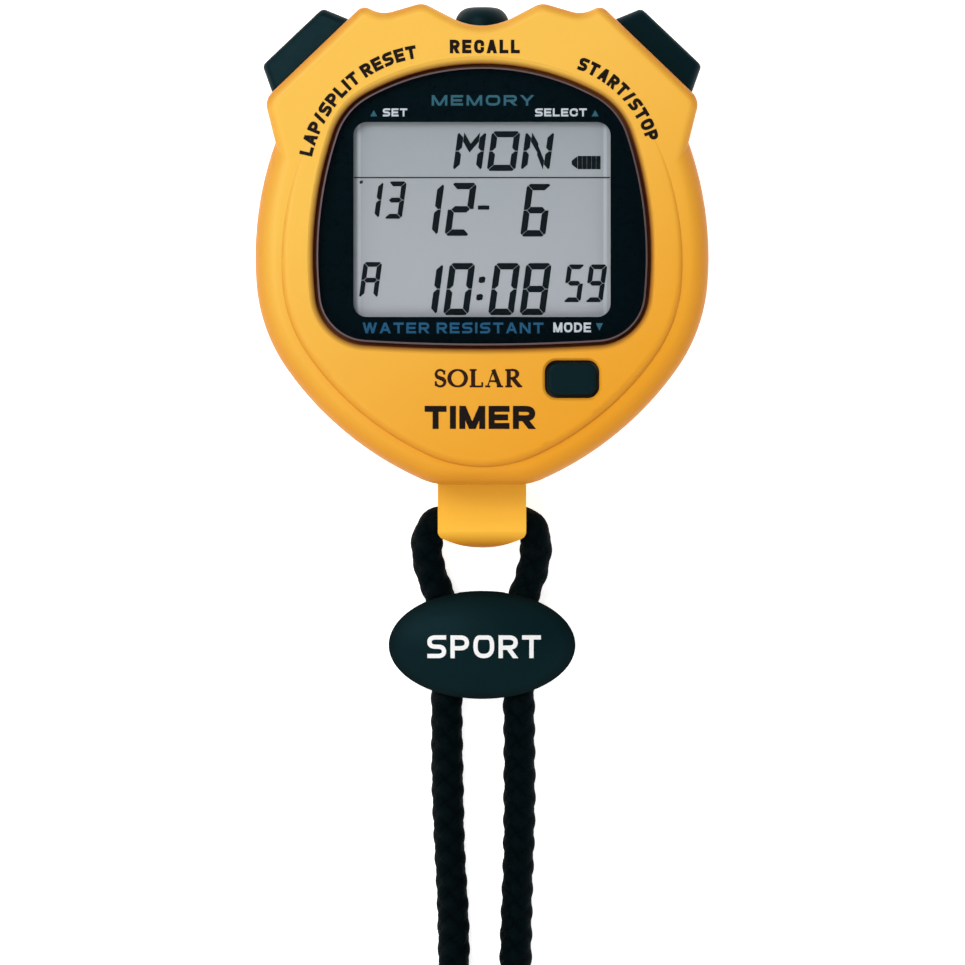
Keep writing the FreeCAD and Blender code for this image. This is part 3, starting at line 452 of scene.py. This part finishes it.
def finish_nodes():
    for name, obj in NODES.items():
        obj.data.materials.clear()
        obj.data.materials.append(FINISHES[SLOT_OF[name]])
        for polygon in obj.data.polygons:
            polygon.material_index = 0


def add_return_springs():
    """A copy of each key's return spring, fixed to the case in place of the imported one."""
    joints = {joint["name"]: joint for joint in frame["joints"]}
    for key in ("start_stop", "lap_reset", "recall", "mode"):
        node, joint = NODES[key + "_spring"], joints[key + "_press"]
        inward = np.array(joint["axis"], float)
        inward /= np.linalg.norm(inward)
        points = np.array([v.co for v in node.data.vertices])
        depth = points @ inward
        spring = link(bpy.data.objects.new(key + "_return_coil", node.data.copy()))
        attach(spring, "case")
        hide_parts(key + "_spring")
        points[depth.argmax()].tolist()
        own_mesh(spring)


# ---- the cord -------------------------------------------------------------------------------
CORD_D = 4.4 * MM
LOW, TOP = 2.45, 6.35
TUNNEL = (0.0, -34.7, 4.7)
COIL_CENTRE = (0.0, -149.0)
COIL_START = 135.0
COIL_STEP = 22.5
COIL_STEPS = 75
LEFT_ROUTE = [
    (-5.6, -34.7, 4.7), (-8.05, -36.6, 4.6), (-7.95, -41.4, 3.8), (-5.15, -48.2, 2.95),
    (-5.15, -54.8, 2.95), (-5.0, -78.0, 2.95), (-3.95, -95.0, 2.6), (-4.3, -110.0, 2.9),
    (-9.0, -117.5, 2.45), (-20.15, -128.85, 2.45),
]
RIGHT_ROUTE = [
    (5.6, -34.7, 4.7), (7.85, -36.6, 4.6), (7.75, -41.4, 3.8), (5.15, -48.2, 2.95),
    (5.3, -56.5, 2.95), (5.5, -78.0, 2.95), (4.9, -94.0, 2.45), (4.8, -108.0, 3.0),
    (10.2, -119.4, 6.9), (16.6, -127.6, 7.0), (20.1, -132.1, 6.35),
]
# How the wound turns lie: degrees turned, radius and height.
# Three turns lie below, and two in the hollows between them.
LAY = [
    (0, 28.5, LOW), (300, 28.5, LOW), (360, 24.0, LOW), (660, 24.0, LOW), (720, 19.5, LOW),
    (990, 19.5, LOW), (1012, 19.1, 3.6), (1035, 18.8, 5.5), (1057, 19.2, 6.7), (1080, 21.6, 6.6),
    (1125, 21.75, TOP), (1380, 21.75, TOP), (1395, 22.9, 7.0), (1425, 25.1, 7.0), (1440, 26.25, 6.5),
    (1705, 26.25, TOP),
]


def coil_points():
    turned, radius, height = np.array(LAY).T
    outward = 1 / math.cos(math.radians(COIL_STEP / 2))
    points = []
    for step in range(1, COIL_STEPS + 1):
        now = step * COIL_STEP
        angle = math.radians(COIL_START + now)
        r = float(np.interp(now, turned, radius)) * outward
        points.append((COIL_CENTRE[0] + r * math.cos(angle), COIL_CENTRE[1] + r * math.sin(angle),
                       float(np.interp(now, turned, height))))
    return points


def spline_line(points):
    """The points along a NURBS spline of order 3 that has these control points."""
    curve = bpy.data.curves.new("route", "CURVE")
    curve.dimensions = "3D"
    spline = curve.splines.new("NURBS")
    spline.points.add(len(points) - 1)
    for point, (x, y, z) in zip(spline.points, points):
        point.co = (x * MM, y * MM, z * MM, 1.0)
    spline.order_u = 3
    spline.use_endpoint_u = True
    spline.resolution_u = curve.resolution_u = 16
    holder = bpy.data.objects.new("route", curve)
    mesh = bpy.data.meshes.new_from_object(holder)
    line = np.array([v.co for v in mesh.vertices])
    bpy.data.meshes.remove(mesh)
    bpy.data.objects.remove(holder)
    bpy.data.curves.remove(curve)
    return line


def evenly(line, step):
    along = np.concatenate([[0], np.cumsum(np.linalg.norm(np.diff(line, axis=0), axis=1))])
    at = np.linspace(0, along[-1], int(along[-1] / step) + 1)
    return np.stack([np.interp(at, along, line[:, k]) for k in range(3)], axis=1), at


def rings_along(line):
    """Two unit vectors across the line at each point, turned as little as possible from one to the next."""
    ahead = np.gradient(line, axis=0)
    ahead /= np.linalg.norm(ahead, axis=1)[:, None]
    side = np.cross(ahead[0], (0, 0, 1))
    sides = []
    for direction in ahead:
        side = side - direction * (side @ direction)
        side = side / np.linalg.norm(side)
        sides.append(side)
    sides = np.array(sides)
    return sides, np.cross(ahead, sides)


BRAID_PITCH = 3.3 * MM
BRAID_STRANDS = 4
SET_SHIFT = (7, 3)         # keeps the yarns of the two sets of strands from matching
BRAID_SINK = 0.34 * MM
BRAID_RISE = 0.52 * MM
# Slow swells of the cord's thickness along its length: each is a share of the radius, radians of the wave per
# metre, and the phase at the start.
SWELLS = ((0.012, 310, 0), (0.01, 171, 1))
RING_STEP = 0.42 * MM
RING_POINTS = 28


def braid_pattern(along, angle):
    """Height 0 to 1 of a round braid's surface, and the place across and along the strand on top."""
    turn = BRAID_STRANDS * angle / (2 * math.pi)
    first, second = along / BRAID_PITCH + turn, along / BRAID_PITCH - turn
    heights = []
    for own, other, sign in ((first, second, 1), (second, first, -1)):
        strand = np.round(own)
        profile = np.sqrt(np.clip(1 - (1.85 * (own - strand)) ** 2, 0, 1))
        over = 0.5 + 0.5 * sign * np.where(strand % 2 == 0, 1, -1) * np.cos(math.pi * other)
        heights.append((profile * (0.25 + 0.75 * over), own - strand, other))
    (high_a, across_a, along_a), (high_b, across_b, along_b) = heights
    top = high_a >= high_b
    shift_across, shift_along = SET_SHIFT
    return (np.where(top, high_a, high_b), np.where(top, across_a, across_b + shift_across),
            np.where(top, along_a, along_b + shift_along))


def tube_mesh(name, centres, radii, sides, ups):
    """A closed tube from rings of radii round the centres."""
    count, around = radii.shape
    angles = np.arange(around) * 2 * math.pi / around
    points = (centres[:, None] + radii[..., None] * (np.cos(angles)[None, :, None] * sides[:, None]
                                                      + np.sin(angles)[None, :, None] * ups[:, None]))
    start = (np.arange(count - 1) * around)[:, None]
    here_, next_ = np.arange(around)[None], (np.arange(around) + 1) % around
    quads = np.stack([start + here_, start + next_[None], start + around + next_[None],
                      start + around + here_], axis=-1)
    faces = quads.reshape(-1, 4).tolist()
    faces += [list(range(around))[::-1], list(range((count - 1) * around, count * around))]
    mesh = bpy.data.meshes.new(name)
    mesh.from_pydata(points.reshape(-1, 3).tolist(), [], faces)
    mesh.polygons.foreach_set("use_smooth", [True] * len(mesh.polygons))
    return link(bpy.data.objects.new(name, mesh))


def add_attribute(mesh, name, values):
    mesh.attributes.new(name, "FLOAT", "POINT").data.foreach_set("value", np.ravel(values).astype(np.float32))


def add_lanyard():
    route = [TUNNEL] + LEFT_ROUTE + coil_points() + RIGHT_ROUTE[::-1] + [TUNNEL]
    line = spline_line(route)
    centres, at = evenly(line, RING_STEP)
    sides, ups = rings_along(centres)
    angles = np.arange(RING_POINTS) * 2 * math.pi / RING_POINTS
    rise, across, along = braid_pattern(at[:, None], angles[None])
    uneven = 1 + sum(share * np.sin(at * rate + start) for share, rate, start in SWELLS)
    radii = (CORD_D / 2 - BRAID_SINK + BRAID_RISE * rise) * uneven[:, None]
    cord = tube_mesh("lanyard_braid", centres, radii, sides, ups)
    add_attribute(cord.data, "rise", rise)
    add_attribute(cord.data, "across", across)
    add_attribute(cord.data, "along", along)
    cord.data.materials.append(FINISHES["cord_black"])
    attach(cord, "case")
    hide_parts("lanyard_cord", "lanyard_coil")


# ---- flat strokes: printing and display segments --------------------------------------------
MITRE_LIMIT = 1.5
RAY_START = 0.05           # well above the whole object


def stroke_edges(points, widths, closed):
    """The left and right edges of a stroke along these points, mitred at its corners."""
    points = np.array(points, float)
    widths = np.broadcast_to(widths, len(points))
    ahead = np.roll(points, -1, axis=0) - points
    if not closed:
        ahead[-1] = ahead[-2]
    ahead /= np.maximum(np.linalg.norm(ahead, axis=1), 1e-9)[:, None]
    behind = np.roll(ahead, 1, axis=0)
    if not closed:
        behind[0] = ahead[0]
    mean = ahead + behind
    mean /= np.maximum(np.linalg.norm(mean, axis=1), 1e-9)[:, None]
    stretch = np.minimum(1 / np.maximum((mean * ahead).sum(axis=1), 0.1), MITRE_LIMIT)
    out = np.stack([-mean[:, 1], mean[:, 0]], axis=1) * (stretch * widths / 2)[:, None]
    return points + out, points - out


def soften_corners(points, radius, steps=5):
    """The path with each inner corner replaced by a short curve."""
    points = [np.array(p, float) for p in points]
    if radius <= 0:
        return points
    path = [points[0]]
    for before, corner, after in zip(points, points[1:], points[2:]):
        back, on = before - corner, after - corner
        long_back, long_on = np.linalg.norm(back), np.linalg.norm(on)
        start = corner + back / long_back * min(radius, long_back / 2)
        end = corner + on / long_on * min(radius, long_on / 2)
        for step in range(steps + 1):
            t = step / steps
            path.append((1 - t) ** 2 * start + 2 * t * (1 - t) * corner + t * t * end)
    path.append(points[-1])
    return [path[0]] + [b for a, b in zip(path, path[1:]) if np.linalg.norm(b - a) > 1e-4]


def lengthened(points, reach):
    """The path with both of its ends drawn out."""
    points = [np.array(p, float) for p in points]
    first, last = points[0] - points[1], points[-1] - points[-2]
    return ([points[0] + first / np.linalg.norm(first) * reach] + points[1:-1]
            + [points[-1] + last / np.linalg.norm(last) * reach])


def ellipse(cx, cy, rx, ry, start=0, sweep=360, steps=28):
    return [(cx + rx * math.cos(math.radians(start + sweep * k / steps)),
             cy + ry * math.sin(math.radians(start + sweep * k / steps))) for k in range(steps + 1)]


def finer(points, widths, longest=0.4):
    """The path and its widths with long runs divided, so that a stroke follows a curved surface."""
    points = np.array(points, float)
    widths = np.broadcast_to(widths, len(points))
    parts = np.maximum(np.ceil(np.linalg.norm(np.diff(points, axis=0), axis=1) / longest), 1)
    at = np.concatenate([k + np.arange(n) / n for k, n in enumerate(parts)] + [[len(points) - 1]])
    index = np.arange(len(points))
    path = np.stack([np.interp(at, index, points[:, k]) for k in (0, 1)], axis=1)
    return path, np.interp(at, index, widths)


class Decal:
    """Thin flat shapes gathered into one mesh; place() puts each plan point (in mm) on its surface."""

    def __init__(self):
        self.mesh = bmesh.new()

    def loops(self, outline, place, thick):
        low = [self.mesh.verts.new(place(x, y, 0)) for x, y in outline]
        high = [self.mesh.verts.new(place(x, y, thick)) for x, y in outline]
        return low, high

    def polygon(self, outline, place, thick):
        low, high = self.loops(outline, place, thick)
        self.mesh.faces.new(high)
        self.mesh.faces.new(low[::-1])
        for k in range(len(low)):
            j = (k + 1) % len(low)
            self.mesh.faces.new((low[k], low[j], high[j], high[k]))

    def stroke(self, points, widths, place, thick, closed=False):
        path, widths = finer(points, widths)
        self.band(*stroke_edges(path, widths, closed), place, thick, closed)

    def slanted(self, low_end, high_end, weight, place, thick):
        """A slanted bar with level ends."""
        (x0, y0), (x1, y1) = low_end, high_end
        half = weight / 2 * math.hypot(x1 - x0, y1 - y0) / (y1 - y0)
        path, _ = finer([low_end, high_end], weight)
        self.band(path - (half, 0), path + (half, 0), place, thick)

    def band(self, left, right, place, thick, closed=False):
        left_low, left_high = self.loops(left, place, thick)
        right_low, right_high = self.loops(right, place, thick)
        count = len(left)
        for k in range(count if closed else count - 1):
            j = (k + 1) % count
            self.mesh.faces.new((left_high[k], right_high[k], right_high[j], left_high[j]))
            self.mesh.faces.new((left_low[k], left_low[j], right_low[j], right_low[k]))
            self.mesh.faces.new((left_low[k], left_high[k], left_high[j], left_low[j]))
            self.mesh.faces.new((right_low[k], right_low[j], right_high[j], right_high[k]))
        if not closed:
            for k, turn in ((0, 1), (count - 1, -1)):
                ring = (left_low[k], right_low[k], right_high[k], left_high[k])
                self.mesh.faces.new(ring[::turn])

    def finish(self, name, material, body):
        bmesh.ops.recalc_face_normals(self.mesh, faces=self.mesh.faces)
        mesh = bpy.data.meshes.new(name)
        self.mesh.to_mesh(mesh)
        self.mesh.free()
        mesh.materials.append(material)
        obj = link(bpy.data.objects.new(name, mesh))
        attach(obj, body)
        return obj


def surface_of(name):
    """A function from a plan point in mm to the height in metres of this node's top there."""
    mesh = NODES[name].data
    tree = BVHTree.FromPolygons([v.co for v in mesh.vertices], [tuple(p.vertices) for p in mesh.polygons])

    def height(x, y):
        return tree.ray_cast(Vector((x * MM, y * MM, RAY_START)), Vector((0, 0, -1)))[0].z
    return height


def on_surface(height, lift):
    return lambda x, y, thick: (x * MM, y * MM, height(x, y) + (lift + thick) * MM)


def at_level(z):
    return lambda x, y, thick: (x * MM, y * MM, (z + thick) * MM)


# Capitals as strokes in a unit cell: width for a height of 1, then (points, corner radius) for each stroke.
# A slanted stroke of two points has level ends.
ROUND = 0.42
STROKE_STEP = 0.12         # each stroke of a letter is printed a little thicker than the one before it
SANS = {
    "A": (1.02, [([(0, 0), (.5, 1)], 0), ([(1, 0), (.5, 1)], 0), ([(.2, .27), (.8, .27)], 0)]),
    "C": (0.98, [([(1, .72), (1, 1), (0, 1), (0, 0), (1, 0), (1, .28)], ROUND)]),
    "D": (0.98, [([(0, 0), (0, 1)], 0), ([(0, 1), (1, 1), (1, 0), (0, 0)], ROUND)]),
    "E": (0.86, [([(1, 1), (0, 1), (0, 0), (1, 0)], 0), ([(0, .5), (.9, .5)], 0)]),
    "I": (0.0, [([(0, 0), (0, 1)], 0)]),
    "L": (0.80, [([(0, 1), (0, 0), (1, 0)], 0)]),
    "M": (1.15, [([(0, 0), (0, 1)], 0), ([(1, 0), (1, 1)], 0), ([(.5, 0), (0, 1)], 0),
                 ([(.5, 0), (1, 1)], 0)]),
    "N": (0.98, [([(0, 0), (0, 1)], 0), ([(1, 0), (1, 1)], 0), ([(1, 0), (0, 1)], 0)]),
    "O": (1.05, [([(.5, 1), (0, 1), (0, 0), (1, 0), (1, 1), (.5, 1)], ROUND)]),
    "P": (0.90, [([(0, 0), (0, 1)], 0), ([(0, 1), (1, 1), (1, .42), (0, .42)], .3)]),
    "R": (0.94, [([(0, 0), (0, 1)], 0), ([(0, 1), (1, 1), (1, .45), (0, .45)], .3),
                 ([(1, 0), (.5, .45)], 0)]),
    "S": (0.92, [([(1, 1), (0, 1), (0, .5), (1, .5), (1, 0), (0, 0)], .27)]),
    "T": (0.92, [([(0, 1), (1, 1)], 0), ([(.5, 1), (.5, 0)], 0)]),
    "W": (1.4, [([(.25, 0), (0, 1)], 0), ([(.25, 0), (.5, 1)], 0), ([(.75, 0), (.5, 1)], 0),
                ([(.75, 0), (1, 1)], 0)]),
    "Y": (0.95, [([(.5, .42), (0, 1)], 0), ([(.5, .42), (1, 1)], 0), ([(.5, .5), (.5, 0)], 0)]),
    "/": (0.45, [([(0, 0), (1, 1)], 0)]),
}


def set_line(decal, text, box, weight, gap, place, thick):
    """Sets a line of capitals so that it fills the box (x0, x1, y0, y1) exactly."""
    x0, x1, y0, y1 = box
    tall = y1 - y0
    inner = tall - weight
    widths = [0.55 if c == " " else SANS[c][0] for c in text]
    gaps = gap * sum(c != " " for c in text[:-1])
    solid = weight * sum(c != " " for c in text)
    stretch = (x1 - x0 - gaps - solid) / (sum(widths) * tall)
    x = x0
    for c, wide in zip(text, widths):
        cell = wide * tall * stretch
        if c == " ":
            x += cell
            continue
        for k, (points, radius) in enumerate(SANS[c][1]):
            high = thick * (1 + STROKE_STEP * k)
            (ua, va), (ub, vb) = points[0], points[-1]
            if len(points) == 2 and ua != ub and va != vb:
                ends = [(x + weight / 2 + u * cell, y0 + v * tall) for u, v in points]
                decal.slanted(*ends, weight, place, high)
            else:
                path = [(x + weight / 2 + u * cell, y0 + weight / 2 + v * inner) for u, v in points]
                reach = 0 if path[0] == path[-1] else weight / 2
                path = soften_corners(lengthened(path, reach), radius * tall)
                decal.stroke(path, weight, place, high)
        x += cell + weight + gap


def round_a_circle(centre, radius, start, place):
    """Places a line of lettering clockwise round a circle from an angle in degrees; y 0 lies on the circle."""
    def bent(x, y, thick):
        angle = math.radians(start) - x / radius
        out = radius + y
        return place(centre[0] + out * math.cos(angle), centre[1] + out * math.sin(angle), thick)
    return bent


# Roman capitals for SOLAR: each stroke is points, the width at each in cap heights, and whether it closes.
THICK, THIN = 0.235, 0.11


def serif(x0, x1, y):
    return ([(x0, y), (x1, y)], THIN)


def swelling(points):
    """Widths that swell where the stroke runs upright."""
    points = np.array(points, float)
    ahead = np.gradient(points, axis=0)
    upright = np.abs(ahead[:, 1]) / np.maximum(np.linalg.norm(ahead, axis=1), 1e-9)
    return THIN + (THICK - THIN) * upright ** 1.5


def roman_strokes():
    s = ellipse(.30, .745, .215, .225, 15, 235, 14)[:-1] + ellipse(.30, .26, .235, .23, 80, -240, 14)
    o = ellipse(.5, .5, .43, .47)[:-1]
    bowl = [(.2, .97), (.42, .97)] + ellipse(.42, .745, .22, .225, 90, -180, 10) + [(.42, .52), (.2, .52)]
    return {
        "S": (0.60, [(s, .13 + .10 * np.exp(-((np.arange(len(s)) - 15) / 5.0) ** 2), False),
                     ([(.51, .70), (.51, .95)], THIN, False), ([(.07, .05), (.07, .33)], THIN, False)]),
        "O": (1.00, [(o, swelling(o), True)]),
        "L": (0.72, [([(.2, .02), (.2, .98)], THICK, False), (*serif(.02, .38, .97), False),
                     (*serif(.02, .66, .03), False), ([(.67, 0), (.67, .27)], THIN, False)]),
        "A": (0.92, [([(.13, .03), (.43, .98)], .075, False), ([(.42, 1.0), (.75, .03)], THICK, False),
                     (*serif(.22, .62, .33), False), (*serif(.0, .27, .03), False),
                     (*serif(.6, .92, .03), False)]),
        "R": (0.88, [([(.2, .02), (.2, .98)], THICK, False), (*serif(.02, .38, .03), False),
                     (*serif(.02, .3, .97), False), (bowl, swelling(bowl), False),
                     ([(.38, .53), (.76, .03)], THICK, False), (*serif(.68, .9, .03), False)]),
    }


def set_roman(decal, text, box, place, thick):
    x0, x1, y0, y1 = box
    tall = y1 - y0
    glyphs = roman_strokes()
    gap = 0.10
    units = sum(glyphs[c][0] for c in text) + gap * (len(text) - 1)
    across = (x1 - x0) / units
    x = x0
    for c in text:
        wide, strokes = glyphs[c]
        for points, widths, closed in strokes:
            path = [(x + u * across, y0 + v * tall) for u, v in points]
            decal.stroke(path, np.asarray(widths) * tall, place, thick, closed)
        x += (wide + gap) * across


def ink(name, tone, rough=0.45):
    """Screen-printed ink, a little thin in places."""
    mat, tree, shader = new_material(name)
    place = here(tree)
    patchy = spread(tree, noise(tree, place, 2500, 3), 0.35, 0.7, 0.0, 0.4)
    paler = colour(*(min(1.0, 1.25 * c + 0.002) for c in tone))
    tree.links.new(mix(tree, patchy, colour(*tone), paler), shader.inputs["Base Color"])
    tree.links.new(bump(tree, noise(tree, place, 3500, 2), 0.003 * MM), shader.inputs["Normal"])
    shader.inputs["Roughness"].default_value = rough
    shader.inputs["Specular IOR Level"].default_value = 0.08
    return mat


PRINT_THICK = 0.03
PRINT_SINK = 0.005         # how far printing reaches into the surface that it lies on
ARC_BAND = (-0.95, 0.95)
ARC_WEIGHT, ARC_GAP = 0.50, 0.28


def set_on_arc(decal, text, centre, radius, start, end, place):
    """Sets a line of capitals clockwise round a circle, between two angles in degrees."""
    bent = round_a_circle(centre, radius, start, place)
    length = radius * math.radians(start - end)
    set_line(decal, text, (0, length, *ARC_BAND), ARC_WEIGHT, ARC_GAP, bent, PRINT_THICK)


def add_case_printing():
    black = ink("ink_black", (0.008, 0.004, 0.003))
    brown = ink("ink_brown", (0.026, 0.007, 0.003))
    face = surface_of("front_case")
    place = on_surface(face, -PRINT_SINK)

    decal = Decal()
    set_line(decal, "RECALL", (-4.6, 5.4, 31.8, 33.75), 0.50, 0.36, place, PRINT_THICK)
    decal.finish("label_recall", black, "case")

    decal = Decal()
    set_on_arc(decal, "LAP/SPLIT RESET", (-6.55, 13.15), 19.1, 167.6, 98.6, place)
    decal.finish("label_lap_reset", black, "case")

    decal = Decal()
    set_on_arc(decal, "START/STOP", (8.4, 14.6), 16.75, 71.0, 16.8, place)
    decal.finish("label_start_stop", black, "case")

    decal = Decal()
    set_roman(decal, "SOLAR", (-6.8, 5.7, -15.85, -13.35), place, PRINT_THICK)
    decal.finish("label_solar", brown, "case")

    decal = Decal()
    set_line(decal, "TIMER", (-8.2, 7.6, -21.85, -18.55), 0.86, 0.48, place, PRINT_THICK)
    decal.finish("label_timer", black, "case")


def add_slider_printing():
    decal = Decal()
    place = on_surface(surface_of("slider_front"), -PRINT_SINK)
    set_line(decal, "SPORT", (-7.9, 8.5, -54.85, -51.55), 0.62, 0.62, place, PRINT_THICK)
    decal.finish("label_sport", ink("ink_white", (0.85, 0.86, 0.86)), "cord_slider")


MASK_TOP = 17.8
MASK_SINK = 0.03           # how far the mask's face lies under the lens, which leaves room for the printing
MASK_PRINT_THICK = 0.02


def add_mask():
    """The printed mask, with its face just clear of the lens's, so that the two don't lie in one plane."""
    mesh = NODES["display_mask"].data.copy()
    face = (MASK_TOP - MASK_SINK) * MM
    for vertex in mesh.vertices:
        vertex.co.z = min(vertex.co.z, face)
    mask = link(bpy.data.objects.new("printed_mask", mesh))
    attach(mask, "case")
    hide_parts("display_mask")


def add_mask_printing():
    place = at_level(MASK_TOP - MASK_SINK - PRINT_SINK)
    teal = ink("ink_teal", (0.035, 0.13, 0.17))
    blue = ink("ink_blue", (0.018, 0.10, 0.19))
    white = ink("ink_pale", (0.62, 0.64, 0.66))
    thick = MASK_PRINT_THICK

    decal = Decal()
    set_line(decal, "MEMORY", (-7.2, 7.4, 24.45, 25.95), 0.34, 0.50, place, thick)
    decal.finish("label_memory", teal, "case")

    decal = Decal()
    set_line(decal, "SET", (-14.2, -10.7, 22.9, 24.05), 0.26, 0.2, place, thick)
    set_line(decal, "SELECT", (7.6, 15.0, 22.9, 24.05), 0.26, 0.2, place, thick)
    set_line(decal, "MODE", (10.2, 15.6, -8.0, -6.6), 0.30, 0.22, place, thick)
    decal.finish("label_functions", white, "case")

    decal = Decal()
    for x, y, tall in ((-15.5, 22.9, 1.0), (16.2, 22.9, 1.0), (16.8, -6.7, -1.2)):
        decal.polygon([(x - 0.5, y), (x + 0.5, y), (x, y + 0.9 * tall)], place, thick)
    decal.finish("label_arrows", teal, "case")

    decal = Decal()
    set_line(decal, "WATER RESISTANT", (-17.1, 8.8, -8.15, -6.6), 0.33, 0.38, place, thick)
    decal.finish("label_water", blue, "case")


# ---- display segments -----------------------------------------------------------------------
SLANT = 0.135
GAP = 0.04
FILM_TOP = 16.25
LCD_SINK = 0.004
LCD_THICK = 0.03
SEGMENTS = {"0": "ABCDEF", "1": "BC", "2": "ABGED", "3": "ABGCD", "5": "AFGCD", "6": "AFGECD",
            "8": "ABCDEFG", "9": "ABFGCD", "A": "ABCEFG", "M": "EFBCHJ", "N": "EFBCHK", "Q": "ABCDEF"}


def segment_outlines(wide, tall, t):
    """The plan outline of each segment of a character cell, in its upright frame."""
    g, c, m = GAP, 0.45 * t, tall / 2
    top = [(c / 2 + g, tall - c / 2), (c + g, tall), (wide - c - g, tall), (wide - c / 2 - g, tall - c / 2),
           (wide - t - g, tall - t), (t + g, tall - t)]
    left = [(c / 2, tall - c / 2 - g), (0, tall - c - g), (0, m + g), (t / 2, m + g), (t, m + t / 2 + g),
            (t, tall - t - g)]
    bar = [(t / 2 + g, m), (t + g, m + t / 2), (wide - t - g, m + t / 2), (wide - t / 2 - g, m),
           (wide - t - g, m - t / 2), (t + g, m - t / 2)]

    def turned(outline):
        return [(wide - x, tall - y) for x, y in outline]

    def mirrored(outline):
        return [(wide - x, y) for x, y in outline][::-1]
    middle = wide / 2
    fall = [(t + g, tall - 0.2 * t), (t + g, tall - 1.7 * t), (middle, m - 0.25 * t), (middle, m + 1.2 * t)]
    lower = [(middle, m + 0.85 * t), (middle, m - 0.6 * t), (wide - t - g, 0.2 * t), (wide - t - g, 1.7 * t)]
    return {"A": top, "F": left, "B": mirrored(left), "C": turned(left), "E": turned(mirrored(left)),
            "D": turned(top), "G": bar, "H": fall, "J": mirrored(fall), "K": lower}


def on_film(decal, outline):
    decal.polygon(outline, at_level(FILM_TOP - LCD_SINK), LCD_THICK)


def set_digits(decal, text, x, y, wide, tall, t, pitch):
    """Characters whose lower left corner is at (x, y); the cells lean to the right."""
    outlines = segment_outlines(wide, tall, t)
    for k, c in enumerate(text):
        for name in SEGMENTS.get(c, ""):
            on_film(decal, [(x + k * pitch + u + SLANT * v, y + v) for u, v in outlines[name]])


def dot(decal, x, y, half):
    on_film(decal, [(x - half, y - half * 0.6), (x - half * 0.4, y - half), (x + half * 0.8, y - half * 0.7),
                    (x + half, y + half * 0.6), (x + half * 0.4, y + half), (x - half * 0.8, y + half * 0.7)])


def bar(decal, x0, x1, y0, y1):
    on_film(decal, [(x0, y0), (x1, y0), (x1, y1), (x0, y1)])


def add_display():
    dark = ink("segment_black", (0.002, 0.006, 0.008), 0.5)
    grey = ink("segment_grey", (0.035, 0.042, 0.046), 0.5)

    decal = Decal()
    set_digits(decal, "MQN", -4.2, 15.15, 4.1, 5.7, 0.88, 4.86)
    decal.finish("display_day", dark, "case")

    decal = Decal()
    set_digits(decal, "13", -17.4, 8.3, 2.6, 5.35, 0.70, 3.3)
    set_digits(decal, "12", -10.05, 5.85, 3.65, 7.6, 0.92, 4.65)
    set_digits(decal, "6", 5.45, 5.75, 3.6, 7.55, 0.92, 4.6)
    bar(decal, -0.6, 1.05, 9.6, 10.2)
    decal.finish("display_date", dark, "case")

    decal = Decal()
    set_digits(decal, "A", -17.65, -3.1, 2.65, 5.2, 0.68, 3.0)
    set_digits(decal, "10", -10.15, -5.5, 3.65, 7.45, 0.92, 4.55)
    set_digits(decal, "08", 0.85, -5.5, 3.65, 7.45, 0.92, 4.5)
    dot(decal, 0.0, -0.45, 0.5)
    dot(decal, -0.35, -2.95, 0.5)
    decal.finish("display_time", dark, "case")

    decal = Decal()
    set_digits(decal, "59", 11.55, -3.65, 2.55, 5.4, 0.68, 3.15)
    decal.finish("display_seconds", dark, "case")

    decal = Decal()
    bar(decal, -18.35, 18.35, 14.1, 14.3)
    dot(decal, -17.3, 13.55, 0.26)
    decal.finish("display_divider", grey, "case")

    decal = Decal()
    for k in range(5):
        bar(decal, 13.72 + 0.66 * k, 14.35 + 0.66 * k, 15.4, 17.3)
    on_film(decal, [(12.85, 16.1), (13.2, 15.8), (13.67, 15.45), (13.67, 17.25), (13.2, 16.9), (12.85, 16.6)])
    decal.finish("display_battery", dark, "case")


add_camera()
add_lanyard()
add_surroundings()
add_floor()
add_softbox("key_light", (-0.26, 0.22, 0.62), 0.38, 2.9)
add_softbox("fill_light", (0.75, -0.35, 0.8), 0.7, 2.1)
add_softbox("side_light", (-0.8, -0.4, 0.7), 0.6, 1.5)
add_softbox("foot_light", (-0.1, -0.6, 0.9), 0.6, 2.3)
finish_nodes()
add_return_springs()
add_case_printing()
add_slider_printing()
add_mask()
add_mask_printing()
add_display()
